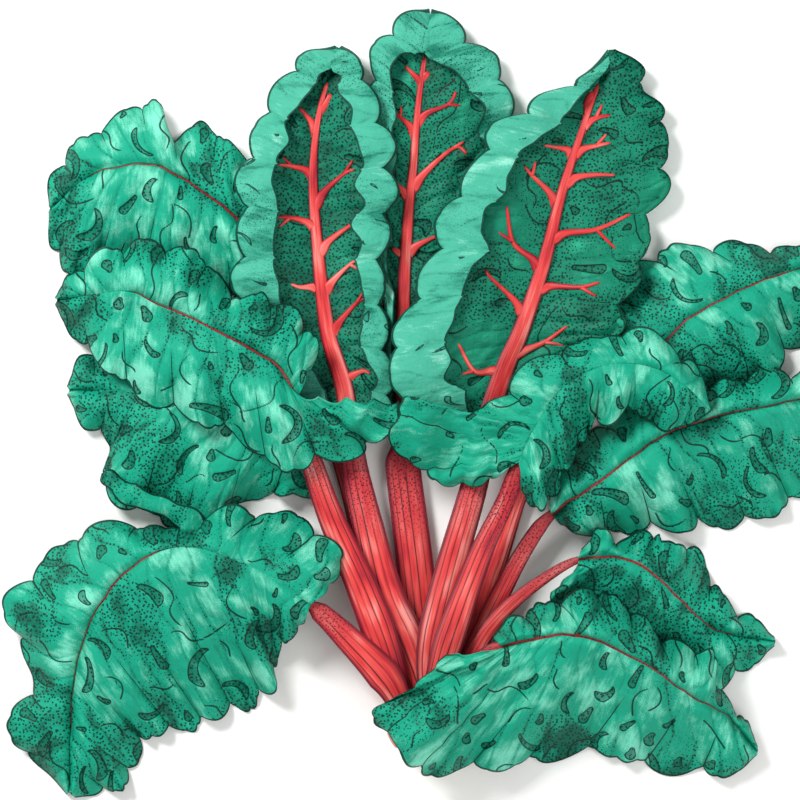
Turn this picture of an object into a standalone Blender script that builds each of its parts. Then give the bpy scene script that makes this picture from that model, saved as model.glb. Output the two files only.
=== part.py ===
"""Swiss chard bunch: twelve leaves still joined at their crown, laid down on a table.

Each leaf is a red stem (ribbed stalk, midrib and, on the upright leaves, side veins) and a
green blade that is lofted between the midrib and two waved margins. The leaves are laid one
after the other, and each is raised just enough to clear those that it lies on.
All lengths below are millimetres on the table: +Y runs from the crown to the tall leaves' tips.
"""
import math

import bmesh
import bpy
import numpy as np
from mathutils import Vector
from mathutils.bvhtree import BVHTree

MM = 0.001
CURVE_STEPS = 24              # straight steps of a curve between two of its hand-placed points
HEADING_STEP = 1.0            # how far ahead and back a curve's direction is taken

# Blades
BLADE_THICKNESS = 1.0
LOBE_LENGTH = 31.0            # one lobe of the waved margin
ROWS_PER_LOBE = 3
LOBE_OUT = 6.5                # how far a lobe stands out in plan
LOBE_SIZES = (0.6, 1.3)       # the smallest and the largest lobe, as shares of that
LOBE_MEAN = 0.4               # the hand-placed margin runs through the lobes at this height
LOBE_WAVE = 8.5               # how far the lobes lift and dip in turn
WAVE_GROWTH = 1.1             # how fast that wave grows from the midrib to the margin
PUFF_SKEW = 0.8               # below 1, the bulge beside the midrib is nearest to the midrib
END_FADE = 0.10               # part of the blade at each end where the waves die out
FLAT_COLUMNS = (0.0, 0.3, 0.66, 1.0)
LOWEST = 0.55                 # the blade's middle surface where it lies on the table
TABLE_SOFTNESS = 3.0          # how softly a falling margin meets the table
RIB_GAP = 0.9                 # between an upright leaf's midrib and the blade beside it
RIB_DROP = 1.4                # how far that midrib stands above the blade
SLIT = (1.5, 0.7)             # half the slit that shows a midrib below it, base and tip
UNDER_GAP = 1.4               # between such a midrib and the blade over it
CLOSED_GAP = 3.5              # the same where the blade has no slit and hides its midrib

# Rolled margins of the upright leaves
ROLL_RADIUS = 4.6
ROLL_SHARE = 0.28             # the roll is never wider than this share of the half blade
ROLL_STEPS = 3
FULL_ROLL = 180.0             # how far a margin turns before its band lies back over the face
BAND_SHARE = 0.7              # and its band covers no more than this share of the face
BAND_RISE = 2.0               # how much the free edge stands above the roll
BAND_SLOPE = 0.2              # the same for a narrow half blade, as a share of its width
BAND_WAVE = 0.35              # the share of the lobes' wave that lifts the free edge
FULL_LOBE_WIDTH = 12.0        # a half blade narrower than this has smaller lobes
FULL_WAVE_WIDTH = 20.0        # and one narrower than this a smaller wave
FACE_PLACE = 0.55             # where the face has its middle line, from the midrib outwards
FACE_HEIGHT = 0.6             # the height of that line, from the midrib's to the margin's

# A narrow lobe that curls away from the margin on its own
CURL_STEP = 11.0
CURL_SIDES = (-1, 0, 1)       # its points across, one for each row of the margin it grows from
CURL_PUFF = 2.0               # how much higher its middle is than its sides

# Stems
STEM_SIDES = 10
STALK_MARKS = (0.0, 0.25, 0.92, 1.0)   # where the stem's widths hold, as shares of the stalk
STEM_FLATNESS = 0.55          # thickness as a share of width
THINNEST_STEM = 0.9
GROOVE = 0.80                 # depth of the grooves between the stalk's ribs, as a share
RIB_ANGLE = 35.0              # edges sharper than this read as ribs
FLAT_TOP = 0.7                # the stalk's upper side is flatter than its lower side
STALK_SPACING = 20.0
END_WIDTH = 0.9               # the stem's pointed end, in the notch where the halves meet
END_REACH = 0.45              # how far it goes into the notch, as a share of the row there
STALK_THICKNESS = 7.5

# Side veins
VEIN_SIDES = 5
VEIN_STEP = 11.0
VEIN_RADIUS = (2.5, 1.1)      # at the midrib and at its end
VEIN_FLATNESS = 0.8           # its height as a share of its width
VEIN_TURN = 0.25              # turns its facets so that one lies flat below
VEIN_CLEAR = 1.4              # from the blade's middle surface to the vein's underside
VEIN_ROOT = 1.9               # how far a vein starts above the midrib's middle
MIDRIB_STEPS = 400            # how finely the midrib is searched for a vein's root

# Crown, the heel that the stalks grow from
CROWN_X = 18.6
CROWN_FACE_Y = -188.0
CROWN_LENGTH = 27.0
CROWN_HALF_WIDTH = 28.0
CROWN_HALF_HEIGHT = 24.0
CROWN_CENTRE_Z = 19.5
CROWN_RIBS = 9
CROWN_RIB_DEPTH = 0.04        # as a share of its half width
CROWN_RINGS = 10
CROWN_SHARP_ANGLE = 40.0
CROWN_SQUARENESS = 0.78       # below 1, the knob fills its corners
CROWN_BELLY = 8.0             # how far behind its face the knob is widest
JOINT_GAP = 0.3

# Laying the leaves on each other
CELL = 1.5                    # the table's height grid
TABLE_LOW = (-270.0, -275.0)
TABLE_HIGH = (330.0, 275.0)
CLEARANCE = 1.6
REACH = 7                     # cells over which a leaf bends up to a leaf under it
LAY_ROUNDS = 6
LAY_REST = 0.2                # a leaf that needs less than this to clear the pile is laid
SCAN_STEP = 0.7               # the distance between the points of a surface, in cells
NOTHING = -1000.0             # the height where nothing lies
FIRST_SEED = 40

STEM_RED = (0.72, 0.12, 0.11)
BLADE_GREEN = (0.02, 0.36, 0.23)
BLADE_DARK = (0.008, 0.15, 0.11)
CROWN_PINK = (0.80, 0.42, 0.36)

# Each leaf, from the lowest in the pile to the highest. Points are x, y and height.
# stalk runs from the crown to the blade, midrib from there to the tip; left and right are the
# margins as seen when looking from the crown to the tip. widths are the stem's at the crown,
# at its widest, at the stalk's top, where the blade starts and at its end. puff is how much the
# blade bulges beside the midrib. band is how far each rolled margin comes back over the blade,
# left and right, at the base, middle and tip, and turns how far each rolls if it isn't all round.
# closed blades hide their midrib. curl is the line of a narrow lobe that leaves the right margin,
# and curl_widths are its widths along that line.
LEAVES = [
    {
        "name": "side_left_upper",
        "stalk": [(1, -188, 6), (-5, -149, 7), (-21, -93, 7), (-34, -43, 8), (-62, 43, 10),
                  (-84, 86, 13)],
        "midrib": [(-93, 104, 15), (-115, 124, 19), (-133, 136, 21), (-155, 146, 22),
                   (-177, 144, 20), (-195, 138, 15), (-217, 119, 5)],
        "left": [(-94, 86, 9), (-99, 67, 4), (-127, 68, 2), (-161, 71, 1), (-192, 78, 2),
                 (-210, 86, 2), (-217, 102, 3), (-219, 118, 3)],
        "right": [(-92, 146, 6), (-104, 156, 4), (-121, 170, 3), (-140, 162, 5), (-149, 179, 3),
                  (-166, 183, 2), (-186, 169, 3), (-206, 155, 2), (-217, 136, 3), (-219, 120, 3)],
        "widths": (15.0, 16.0, 9.0, 6.0, 2.0), "puff": 7.0,
    },
    {
        "name": "tall_middle",
        "stalk": [(19, -188, 6), (15, -155, 7), (9, -99, 8), (2, -43, 8)],
        "midrib": [(2, -25, 8), (2, 53, 9), (5, 112, 10), (8, 143, 10), (11, 180, 10),
                   (15, 211, 9), (19, 239, 6)],
        "left": [(-7, -16, 7), (-9, 50, 6), (-12, 93, 5), (-14, 136, 5), (-15, 174, 5),
                 (-17, 202, 6), (-11, 223, 6), (3, 239, 5), (19, 244, 4)],
        "right": [(12, -16, 7), (25, 50, 6), (43, 93, 5), (56, 130, 5), (65, 161, 5),
                  (69, 183, 5), (59, 211, 6), (40, 226, 6), (28, 239, 5), (19, 244, 4)],
        "widths": (15.0, 24.0, 22.0, 12.0, 3.0), "puff": 2.0,
        "band": ((6, 8, 12), (4, 8, 22)),
        "veins": [((15, 174), (30, 184), (35, 190)), ((9, 133), (34, 157), (43, 153)),
                  ((9, 93), (23, 102), (26, 104)), ((9, 167), (0, 176), (-4, 180)),
                  ((6, 126), (-1, 133), (-4, 136)), ((5, 88), (-1, 92), (-4, 94)),
                  ((11, 197), (7, 204), (3, 208))],
    },
    {
        "name": "side_right_upper",
        "stalk": [(36, -188, 6), (45, -149, 7), (61, -99, 7), (81, -43, 9), (112, -6, 11)],
        "midrib": [(149, 19, 14), (162, 34, 17), (181, 52, 20), (211, 68, 20), (248, 82, 16),
                   (290, 90, 5)],
        "left": [(138, 31, 8), (131, 56, 4), (149, 84, 3), (180, 93, 2), (211, 95, 3),
                 (248, 95, 2), (276, 102, 2), (296, 92, 3)],
        "right": [(164, 14, 7), (186, 8, 5), (211, 9, 3), (234, 22, 2), (248, 37, 2),
                  (274, 51, 2), (291, 68, 2), (298, 88, 3)],
        "widths": (14.0, 14.0, 8.0, 6.0, 2.0), "puff": 7.0,
    },
    {
        "name": "side_left_lower",
        "stalk": [(1, -188, 15), (-9, -152, 16), (-26, -108, 16), (-40, -74, 16)],
        "midrib": [(-48, -56, 17), (-57, -40, 19), (-74, -23, 22), (-105, -7, 24), (-136, 1, 22),
                   (-167, 5, 16), (-205, 6, 5)],
        "left": [(-51, -62, 9), (-70, -56, 6), (-86, -62, 4), (-102, -64, 3), (-120, -82, 3),
                 (-138, -79, 6), (-150, -67, 3), (-169, -65, 4), (-185, -48, 2), (-181, -28, 3),
                 (-196, -12, 2), (-208, 4, 3)],
        "right": [(-56, -34, 10), (-81, 0, 7), (-112, 16, 5), (-149, 28, 4), (-180, 34, 3),
                  (-191, 30, 4), (-202, 17, 3), (-208, 8, 3)],
        "widths": (15.0, 17.0, 10.0, 6.0, 2.0), "puff": 7.0,
    },
    {
        "name": "tall_left",
        "stalk": [(17, -188, 15), (6, -155, 16), (-9, -121, 17), (-21, -74, 16), (-28, -43, 14)],
        "midrib": [(-31, -19, 12), (-35, 9, 11), (-45, 43, 11), (-51, 93, 11), (-54, 140, 11),
                   (-50, 180, 11), (-38, 219, 7)],
        "left": [(-45, -20, 8), (-71, 9, 6), (-90, 43, 5), (-99, 81, 5), (-97, 124, 5),
                 (-93, 155, 5), (-81, 186, 6), (-62, 211, 6), (-40, 221, 4)],
        "right": [(-16, -24, 8), (-5, 0, 6), (-9, 43, 5), (-11, 87, 5), (-7, 124, 5),
                  (-9, 161, 5), (-19, 195, 6), (-28, 214, 6), (-37, 221, 4)],
        "widths": (15.0, 26.0, 16.0, 13.0, 3.0), "puff": 2.0,
        "band": ((22, 16, 14), (8, 14, 12)),
        "veins": [((-51, 124), (-35, 140), (-29, 142)), ((-48, 93), (-31, 108), (-26, 112)),
                  ((-45, 68), (-31, 84), (-25, 86)), ((-42, 40), (-27, 60), (-21, 64)),
                  ((-35, 11), (-23, 18), (-18, 16)), ((-54, 140), (-67, 145), (-76, 146)),
                  ((-57, 109), (-68, 113), (-76, 112)), ((-54, 68), (-62, 70), (-67, 72)),
                  ((-53, 169), (-59, 178), (-63, 182))],
    },
    {
        "name": "side_right_middle",
        "stalk": [(36, -188, 15), (48, -152, 16), (62, -121, 17), (79, -90, 18)],
        "midrib": [(94, -71, 20), (124, -50, 26), (149, -31, 30), (174, -17, 31), (205, -8, 28),
                   (245, 0, 20), (293, 8, 5)],
        "left": [(92, -62, 12), (99, -43, 9), (115, -28, 7), (140, -7, 6), (180, 1, 5),
                 (211, 12, 4), (245, 16, 3), (279, 23, 3), (300, 12, 3)],
        "right": [(100, -78, 11), (118, -82, 7), (149, -79, 4), (180, -77, 3), (211, -76, 2),
                  (245, -63, 2), (279, -43, 2), (300, -1, 3)],
        "widths": (14.0, 15.0, 9.5, 6.0, 2.0), "puff": 8.0,
    },
    {
        "name": "tall_right",
        "stalk": [(19, -188, 24), (20, -152, 25), (32, -102, 24), (46, -53, 20)],
        "midrib": [(55, -12, 15), (65, 19, 13), (76, 45, 12), (90, 87, 12), (100, 127, 12),
                   (114, 170, 12), (131, 218, 7)],
        "left": [(28, -22, 8), (0, 0, 6), (-5, 34, 5), (9, 62, 5), (24, 96, 5), (34, 126, 5),
                 (48, 149, 5), (59, 167, 6), (81, 181, 6), (99, 192, 6), (117, 203, 6),
                 (130, 219, 4)],
        "right": [(73, -3, 8), (102, 17, 6), (131, 43, 5), (138, 63, 5), (152, 90, 5),
                  (155, 113, 5), (165, 138, 5), (162, 160, 5), (165, 179, 6), (152, 191, 6),
                  (152, 203, 6), (144, 212, 6), (133, 219, 4)],
        "widths": (15.0, 21.0, 16.0, 14.0, 3.0), "puff": 2.0,
        "band": ((34, 22, 18), (0, 0, 0)), "turns": (FULL_ROLL, 80.0),
        "veins": [((108, 154), (96, 157), (90, 158)), ((96, 124), (82, 139), (78, 144)),
                  ((84, 84), (70, 98), (66, 120)), ((65, 60), (56, 76), (53, 81)),
                  ((62, 20), (46, 18), (36, 35)), ((114, 172), (124, 176), (131, 177)),
                  ((108, 153), (122, 158), (130, 159)), ((100, 100), (122, 106), (144, 116)),
                  ((92, 68), (112, 70), (124, 73)), ((72, 24), (90, 36), (104, 46))],
    },
    {
        "name": "side_left_middle",
        "stalk": [(1, -188, 24), (-9, -154, 25), (-25, -112, 25), (-42, -74, 25), (-54, -40, 26),
                  (-60, -19, 28)],
        "midrib": [(-64, 1, 33), (-74, 20, 38), (-90, 30, 40), (-107, 40, 40), (-127, 50, 38),
                   (-149, 59, 34), (-170, 67, 26), (-212, 62, 5)],
        "left": [(0, -1, 38), (-4, -17, 37), (-22, -28, 36), (-50, -37, 35), (-74, -40, 28),
                 (-93, -29, 22), (-108, -17, 16), (-130, -6, 12), (-152, -2, 8), (-174, 14, 5),
                 (-193, 32, 4), (-207, 48, 3), (-215, 60, 3)],
        "right": [(-55, 21, 34), (-52, 34, 30), (-68, 55, 22), (-86, 62, 18), (-97, 60, 18),
                  (-110, 71, 12), (-121, 86, 9), (-140, 92, 6), (-164, 95, 4), (-186, 86, 3),
                  (-203, 78, 4), (-215, 63, 3)],
        "widths": (15.0, 22.0, 12.0, 6.0, 2.0), "puff": 7.0,
    },
    {
        "name": "side_right_lower",
        "stalk": [(36, -188, 24), (46, -156, 25), (65, -130, 25), (90, -110, 25)],
        "midrib": [(110, -99, 26), (130, -97, 28), (149, -102, 28), (164, -114, 26),
                   (181, -131, 20), (198, -144, 12), (233, -150, 4)],
        "left": [(113, -92, 20), (125, -82, 16), (141, -90, 12), (158, -82, 9), (164, -92, 9),
                 (179, -91, 6), (189, -104, 5), (200, -124, 4), (212, -135, 3), (234, -148, 3)],
        "right": [(109, -105, 20), (97, -119, 14), (100, -131, 10), (118, -141, 6),
                  (143, -150, 4), (180, -166, 2), (197, -176, 2), (217, -166, 2), (234, -153, 3)],
        "widths": (13.0, 12.0, 6.0, 4.5, 2.0), "puff": 7.0,
    },
    {
        "name": "front_fold",
        "stalk": [(20, -188, 33), (29, -152, 34), (48, -99, 33), (65, -62, 34)],
        "midrib": [(73, -38, 37), (83, -16, 42), (98, 6, 46), (124, 21, 48), (152, 21, 44),
                   (174, 9, 34), (190, -7, 16)],
        "left": [(51, -52, 28), (25, -50, 22), (5, -36, 22), (-3, -16, 24), (4, 1, 26),
                 (25, -4, 30), (43, -12, 34), (61, 1, 36), (87, 25, 36), (118, 37, 35),
                 (150, 40, 36), (180, 19, 26), (191, -5, 14)],
        "right": [(76, -60, 30), (87, -66, 26), (97, -57, 22), (101, -42, 20), (110, -30, 20),
                  (119, -15, 22), (131, -9, 24), (145, -6, 24), (156, -15, 20), (169, -17, 16),
                  (181, -12, 14), (191, -7, 12)],
        "widths": (15.0, 19.0, 10.5, 7.0, 2.0), "puff": 5.0, "closed": True,
    },
    {
        "name": "bottom_left",
        "stalk": [(1, -188, 33), (-9, -171, 34), (-31, -148, 36)],
        "midrib": [(-55, -126, 40), (-90, -103, 46), (-127, -90, 50), (-155, -96, 48),
                   (-177, -115, 42), (-192, -140, 34), (-203, -180, 20), (-206, -243, 3)],
        "left": [(-60, -138, 28), (-72, -149, 20), (-79, -161, 14), (-79, -176, 9),
                 (-99, -189, 6), (-130, -202, 5), (-158, -211, 4), (-172, -237, 3),
                 (-188, -245, 3), (-203, -248, 2)],
        "right": [(-41, -113, 28), (-38, -94, 22), (-64, -76, 18), (-104, -71, 16),
                  (-136, -81, 16), (-179, -77, 12), (-217, -96, 8), (-241, -129, 5),
                  (-234, -158, 5), (-228, -175, 6), (-237, -195, 4), (-236, -218, 3),
                  (-218, -234, 2), (-207, -247, 2)],
        "widths": (15.0, 22.0, 12.5, 6.0, 2.0), "puff": 9.0,
        "curl": [(-129, -86, 16), (-131, -75, 15), (-141, -69, 14), (-155, -63, 13),
                 (-167, -59, 12), (-176, -52, 11), (-185, -46, 10)],
        "curl_widths": (18.0, 15.0, 10.0, 9.0, 12.0, 10.0, 5.0),
    },
    {
        "name": "bottom_right",
        "stalk": [(36, -188, 33), (38, -175, 37), (46, -162, 44)],
        "midrib": [(62, -151, 52), (87, -145, 55), (112, -144, 53), (133, -153, 48),
                   (155, -164, 42), (180, -183, 30), (202, -195, 16), (222, -218, 3)],
        "left": [(57, -145, 42), (71, -135, 34), (92, -127, 26), (115, -117, 20),
                 (138, -127, 14), (162, -148, 9), (190, -158, 5), (198, -181, 4), (214, -200, 3),
                 (223, -216, 3)],
        "right": [(29, -156, 54), (9, -175, 54), (-16, -193, 49), (-1, -214, 42), (14, -229, 24),
                  (50, -226, 10), (87, -224, 3), (124, -219, 3), (155, -228, 3), (189, -231, 2),
                  (210, -229, 2), (223, -221, 3)],
        "widths": (13.0, 13.0, 9.0, 6.0, 2.0), "puff": 9.0,
    },
]


class Curve:
    """A smooth curve through hand-placed points, read by the distance along it."""

    def __init__(self, points):
        p = np.array(points, float)
        p = np.vstack([2 * p[0] - p[1], p, 2 * p[-1] - p[-2]])
        t = np.linspace(0, 1, CURVE_STEPS, endpoint=False)[:, None]
        pieces = []
        for a, b, c, d in zip(p, p[1:], p[2:], p[3:]):
            pieces.append(b + 0.5 * t * (c - a + t * (2 * a - 5 * b + 4 * c - d
                                                      + t * (3 * (b - c) + d - a))))
        self.points = np.vstack(pieces + [p[-2:-1]])
        steps = np.linalg.norm(np.diff(self.points, axis=0), axis=1)
        self.run = np.concatenate([[0.0], np.cumsum(steps)])
        self.marks = self.run[::CURVE_STEPS]

    @property
    def length(self):
        return self.run[-1]

    def at(self, distance):
        return np.stack([np.interp(distance, self.run, self.points[:, i]) for i in range(3)], -1)

    def heading(self, distance):
        ahead = self.at(distance + HEADING_STEP) - self.at(distance - HEADING_STEP)
        return ahead / np.linalg.norm(ahead, axis=-1, keepdims=True)


def sideways(heading):
    """Level unit vectors that point to the left of a heading."""
    left = np.stack([-heading[..., 1], heading[..., 0], 0 * heading[..., 0]], -1)
    return left / np.maximum(np.linalg.norm(left, axis=-1, keepdims=True), 1e-9)


def stem_width(leaf, distance, blade_start, end):
    """The stem widens from the crown, narrows up the stalk and again along the blade."""
    marks = [share * blade_start for share in STALK_MARKS] + [end]
    return np.interp(distance, marks, leaf["widths"])


def stem_thickness(width):
    return np.clip(STEM_FLATNESS * width, THINNEST_STEM, STALK_THICKNESS)


def rest_on_table(height):
    """Keep a height above the table, bending softly where it would fall below."""
    above = height - LOWEST
    return LOWEST + (above + np.sqrt(above ** 2 + TABLE_SOFTNESS ** 2)) / 2


def lobe_rows(leaf, lobes, rng):
    """How far the margin stands out and lifts at each row, lobe by lobe."""
    rows = lobes * ROWS_PER_LOBE
    along = np.arange(rows + 1) / ROWS_PER_LOBE
    lobe = np.minimum(along.astype(int), lobes - 1)
    size = rng.uniform(*LOBE_SIZES, lobes)[lobe]
    swell = np.abs(np.sin(math.pi * along)) * size
    fade = np.clip(np.minimum(along, lobes - along) / (END_FADE * lobes), 0, 1)
    turn = np.where(lobe % 2 == 0, 1.0, -1.0)
    return LOBE_OUT * (swell - LOBE_MEAN) * fade, LOBE_WAVE * swell * turn * fade


def flat_half(inner, outer, out, wave, puff):
    """Half a blade that falls from its midrib to a waved margin."""
    reach = outer - inner
    level = reach * (1, 1, 0)
    away = level / np.maximum(np.linalg.norm(level, axis=1, keepdims=True), 1.0)
    columns = []
    for v in FLAT_COLUMNS:
        column = inner + reach * v + away * (out * v * v)[:, None]
        column[:, 2] += puff * math.sin(math.pi * v ** PUFF_SKEW) + wave * v ** WAVE_GROWTH
        column[:, 2] = rest_on_table(column[:, 2])
        columns.append(column)
    return np.stack(columns, 1)


def rolled_half(inner, outer, out, wave, puff, band, turn):
    """Half an upright blade: flat beside the midrib, its margin rolled up and back over it."""
    level = (outer - inner) * (1, 1, 0)
    width = np.linalg.norm(level, axis=1)
    away = level / np.maximum(width, 1.0)[:, None]
    width = np.maximum(width + out * np.minimum(1, width / FULL_LOBE_WIDTH), 0)
    radius = np.minimum(ROLL_RADIUS, ROLL_SHARE * width)
    flat = width - radius
    back = np.minimum(band, BAND_SHARE * flat)
    near, far = inner[:, 2], outer[:, 2]
    marks = [(0 * flat, near), (FACE_PLACE * flat, near + FACE_HEIGHT * (far - near) + puff)]
    for step in range(ROLL_STEPS + 1):
        angle = math.radians(turn) * step / ROLL_STEPS
        marks.append((flat + radius * math.sin(angle), far + radius * (1 - math.cos(angle))))
    rolled, top = marks[-1]
    marks.append((rolled - back, top + np.minimum(BAND_RISE, BAND_SLOPE * width)
                  + BAND_WAVE * np.abs(wave) * np.minimum(1, width / FULL_WAVE_WIDTH)))
    columns = []
    for distance, height in marks:
        column = inner + away * distance[:, None]
        column[:, 2] = rest_on_table(height)
        columns.append(column)
    return np.stack(columns, 1)


def curl_lobe(leaf, margin):
    """The narrow lobe, grown on from three neighbouring rows of the margin it leaves."""
    path = Curve(leaf["curl"])
    count = round(path.length / CURL_STEP)
    stations = np.linspace(0, path.length, count + 1)[1:]
    centres, to_left = path.at(stations), sideways(path.heading(stations))
    width = np.interp(stations, path.marks, leaf["curl_widths"])
    root = np.argmin(np.linalg.norm(margin[:, :2] - path.points[0, :2], axis=1))
    rows = []
    for side in CURL_SIDES:
        row = centres + to_left * (side * width / 2)[:, None]
        row[:, 2] += CURL_PUFF * (1 - abs(side))
        rows.append(np.vstack([margin[root + side], row]))
    return np.stack(rows)


def shape_leaf(leaf, rng):
    """The leaf's two halves as rows of points, and the stations of its stem, not yet laid."""
    path = Curve(leaf["stalk"] + leaf["midrib"])
    blade_start = path.marks[len(leaf["stalk"])]
    margins = [Curve(leaf["left"]), Curve(leaf["right"])]
    lobes = round((margins[0].length + margins[1].length) / 2 / LOBE_LENGTH)
    rows = lobes * ROWS_PER_LOBE
    share = np.linspace(0, 1, rows + 1)
    stations = blade_start + share * (path.length - blade_start)
    cusps = stations[::ROWS_PER_LOBE]
    rib_end = cusps[-2]

    # The midrib is straight between the cusps, and so is the blade's edge beside it.
    middle = np.stack([np.interp(stations, cusps, path.at(cusps)[:, i]) for i in range(3)], -1)
    to_left = sideways(path.heading(cusps))
    width = stem_width(leaf, cusps, blade_start, rib_end)
    rolled = "band" in leaf
    if rolled:
        half = width / 2 + RIB_GAP
        seat = np.full(len(cusps), -RIB_DROP)
    else:
        closed = leaf.get("closed", False)
        half = np.linspace(*SLIT, len(cusps)) * (0 if closed else 1)
        gap = CLOSED_GAP if closed else UNDER_GAP
        seat = FLAT_TOP * stem_thickness(width) / 2 + BLADE_THICKNESS / 2 + gap
    beside = np.stack([np.interp(stations, cusps, (to_left * half[:, None])[:, i])
                       for i in range(3)], -1)
    beside[stations > rib_end + 0.1] = 0
    middle[:, 2] += np.interp(stations, cusps, seat)
    halves = []
    for side, margin in enumerate(margins):
        inner = middle + beside * (1, -1)[side]
        outer = margin.at(share * margin.length)
        outer[-1] = inner[-1]
        out, wave = lobe_rows(leaf, lobes, rng)
        if rolled:
            band = np.interp(share, (0, 0.5, 1), leaf["band"][side])
            turn = leaf.get("turns", (FULL_ROLL, FULL_ROLL))[side]
            halves.append(rolled_half(inner, outer, out, wave, leaf["puff"], band, turn))
        else:
            halves.append(flat_half(inner, outer, out, wave, leaf["puff"]))
        halves[-1][-1] = inner[-1]
    if "curl" in leaf:
        halves.append(curl_lobe(leaf, halves[1][:, -1]))
    stalk_count = max(4, round(blade_start / STALK_SPACING))
    stem_at = np.concatenate([np.linspace(0, blade_start, stalk_count, endpoint=False),
                              cusps[:-1],
                              [rib_end + END_REACH * (stations[-1] - stations[-2])]])
    return path, blade_start, rib_end, halves, stem_at


def blade_arrays(halves):
    """All of a blade as one list of points and triangles, joined where parts share points."""
    points, triangles, known, edges = [], [], {}, []

    def number(point):
        key = tuple(np.round(point, 3))
        if key not in known:
            known[key] = len(points)
            points.append(point)
        return known[key]

    for side, half in enumerate(halves):
        index = [[number(point) for point in row] for row in half]
        if side < 2:
            edges.append([row[0] for row in index])
        for r, (near, far) in enumerate(zip(index, index[1:])):
            for c in range(len(near) - 1):
                a, b, d, e = near[c], near[c + 1], far[c + 1], far[c]
                split = ((a, b, d), (a, d, e)) if (r + c) % 2 else ((a, b, e), (b, d, e))
                for triangle in split:
                    if len(set(triangle)) == 3:
                        triangles.append(triangle if side else triangle[::-1])
    return np.array(points), np.array(triangles), edges


def straighten(points, edges):
    """Keep the blade's edges beside the midrib straight between the lobes' cusps, as it is."""
    for edge in edges:
        height = points[edge, 2]
        rows = np.arange(len(edge))
        points[edge, 2] = np.interp(rows, rows[::ROWS_PER_LOBE], height[::ROWS_PER_LOBE])


def stem_arrays(leaf, path, blade_start, rib_end, stations):
    """A ribbed stem lofted through rings of points, closed at both ends."""
    centres = path.at(stations)
    centres[0, 1] = CROWN_FACE_Y + JOINT_GAP
    heading = path.heading(stations)
    heading[0] = (0, 1, 0)
    to_left = sideways(heading)
    up = np.cross(heading, to_left)
    width = stem_width(leaf, stations, blade_start, rib_end)
    width[-1] = END_WIDTH
    thick = stem_thickness(width)
    points = []
    for ring in range(len(stations)):
        for i in range(STEM_SIDES):
            angle = 2 * math.pi * (i + 0.5) / STEM_SIDES
            rib = 1.0 if i % 2 == 0 else GROOVE
            across = 0.5 * width[ring] * rib * math.cos(angle)
            above = 0.5 * thick[ring] * rib * math.sin(angle)
            above *= FLAT_TOP if above > 0 else 1.0
            points.append(centres[ring] + across * to_left[ring] + above * up[ring])
    triangles = []
    for ring in range(len(stations) - 1):
        for i in range(STEM_SIDES):
            a, b = ring * STEM_SIDES + i, ring * STEM_SIDES + (i + 1) % STEM_SIDES
            triangles += [(a, b, b + STEM_SIDES), (a, b + STEM_SIDES, a + STEM_SIDES)]
    last = (len(stations) - 1) * STEM_SIDES
    for i in range(1, STEM_SIDES - 1):
        triangles += [(0, i + 1, i), (last, last + i, last + i + 1)]
    return np.array(points), np.array(triangles)


class Pile:
    """The highest thing laid so far, over each cell of the table."""

    def __init__(self):
        size = [int((high - low) / CELL) for low, high in zip(TABLE_LOW, TABLE_HIGH)]
        self.top = np.full(size, NOTHING)

    def cells(self, points):
        place = (points[..., :2] - TABLE_LOW) / CELL
        return np.clip(place, 0, np.array(self.top.shape) - 1.001)

    def scan(self, points, triangles, lowest):
        """The lowest or highest height of a surface over each cell."""
        sign = -1.0 if lowest else 1.0
        found = np.full(self.top.shape, NOTHING)
        corners = points[triangles]
        longest = np.max(np.linalg.norm(corners - np.roll(corners, 1, axis=1), axis=2), axis=1)
        steps = np.ceil(longest / (SCAN_STEP * CELL)).astype(int)
        for n in np.unique(steps):
            i, j = np.meshgrid(np.arange(n + 1), np.arange(n + 1))
            keep = i + j <= n
            weights = np.stack([i[keep], j[keep], n - i[keep] - j[keep]], 1) / n
            spots = np.einsum("wk,tkc->twc", weights, corners[steps == n]).reshape(-1, 3)
            cell = self.cells(spots).astype(int)
            np.maximum.at(found, (cell[:, 0], cell[:, 1]), sign * spots[:, 2])
        return np.where(found > NOTHING, sign * found, np.nan)

    def spread(self, need):
        """A smooth lift that is at least the need everywhere."""
        lift = need
        for passes, join in ((2, np.max), (2, np.mean)):
            for _ in range(passes):
                for axis in (0, 1):
                    pad = [(0, 0), (0, 0)]
                    pad[axis] = (REACH, REACH)
                    wide = np.pad(lift, pad, mode="edge")
                    n = lift.shape[axis]
                    lift = join([np.take(wide, range(k, k + n), axis)
                                 for k in range(2 * REACH + 1)], axis=0)
        return lift

    def read(self, field, points):
        place = self.cells(points) - 0.5
        place = np.clip(place, 0, np.array(field.shape) - 1.001)
        i = place.astype(int)
        f = place - i
        x, y = i[:, 0], i[:, 1]
        fx, fy = f[:, 0], f[:, 1]
        return ((1 - fx) * (1 - fy) * field[x, y] + fx * (1 - fy) * field[x + 1, y]
                + (1 - fx) * fy * field[x, y + 1] + fx * fy * field[x + 1, y + 1])

    def lay(self, surfaces, edges):
        """Raise a leaf's stem and blade together until they clear the pile."""
        for _ in range(LAY_ROUNDS):
            need = np.zeros(self.top.shape)
            for points, triangles in surfaces:
                under = self.scan(points, triangles, lowest=True)
                need = np.fmax(need, self.top + CLEARANCE - under)
            if need.max() < LAY_REST:
                break
            lift = self.spread(need)
            for points, triangles in surfaces:
                points[:, 2] += self.read(lift, points)
            straighten(points, edges)

    def add(self, points, triangles):
        self.top = np.fmax(self.top, self.scan(points, triangles, lowest=False))


def make_object(name, points, triangles):
    mesh = bpy.data.meshes.new(name)
    mesh.from_pydata((points * MM).tolist(), [], triangles.tolist())
    mesh.shade_smooth()
    piece = bpy.data.objects.new(name, mesh)
    bunch.objects.link(piece)
    piece.parent = origin
    return piece


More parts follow.
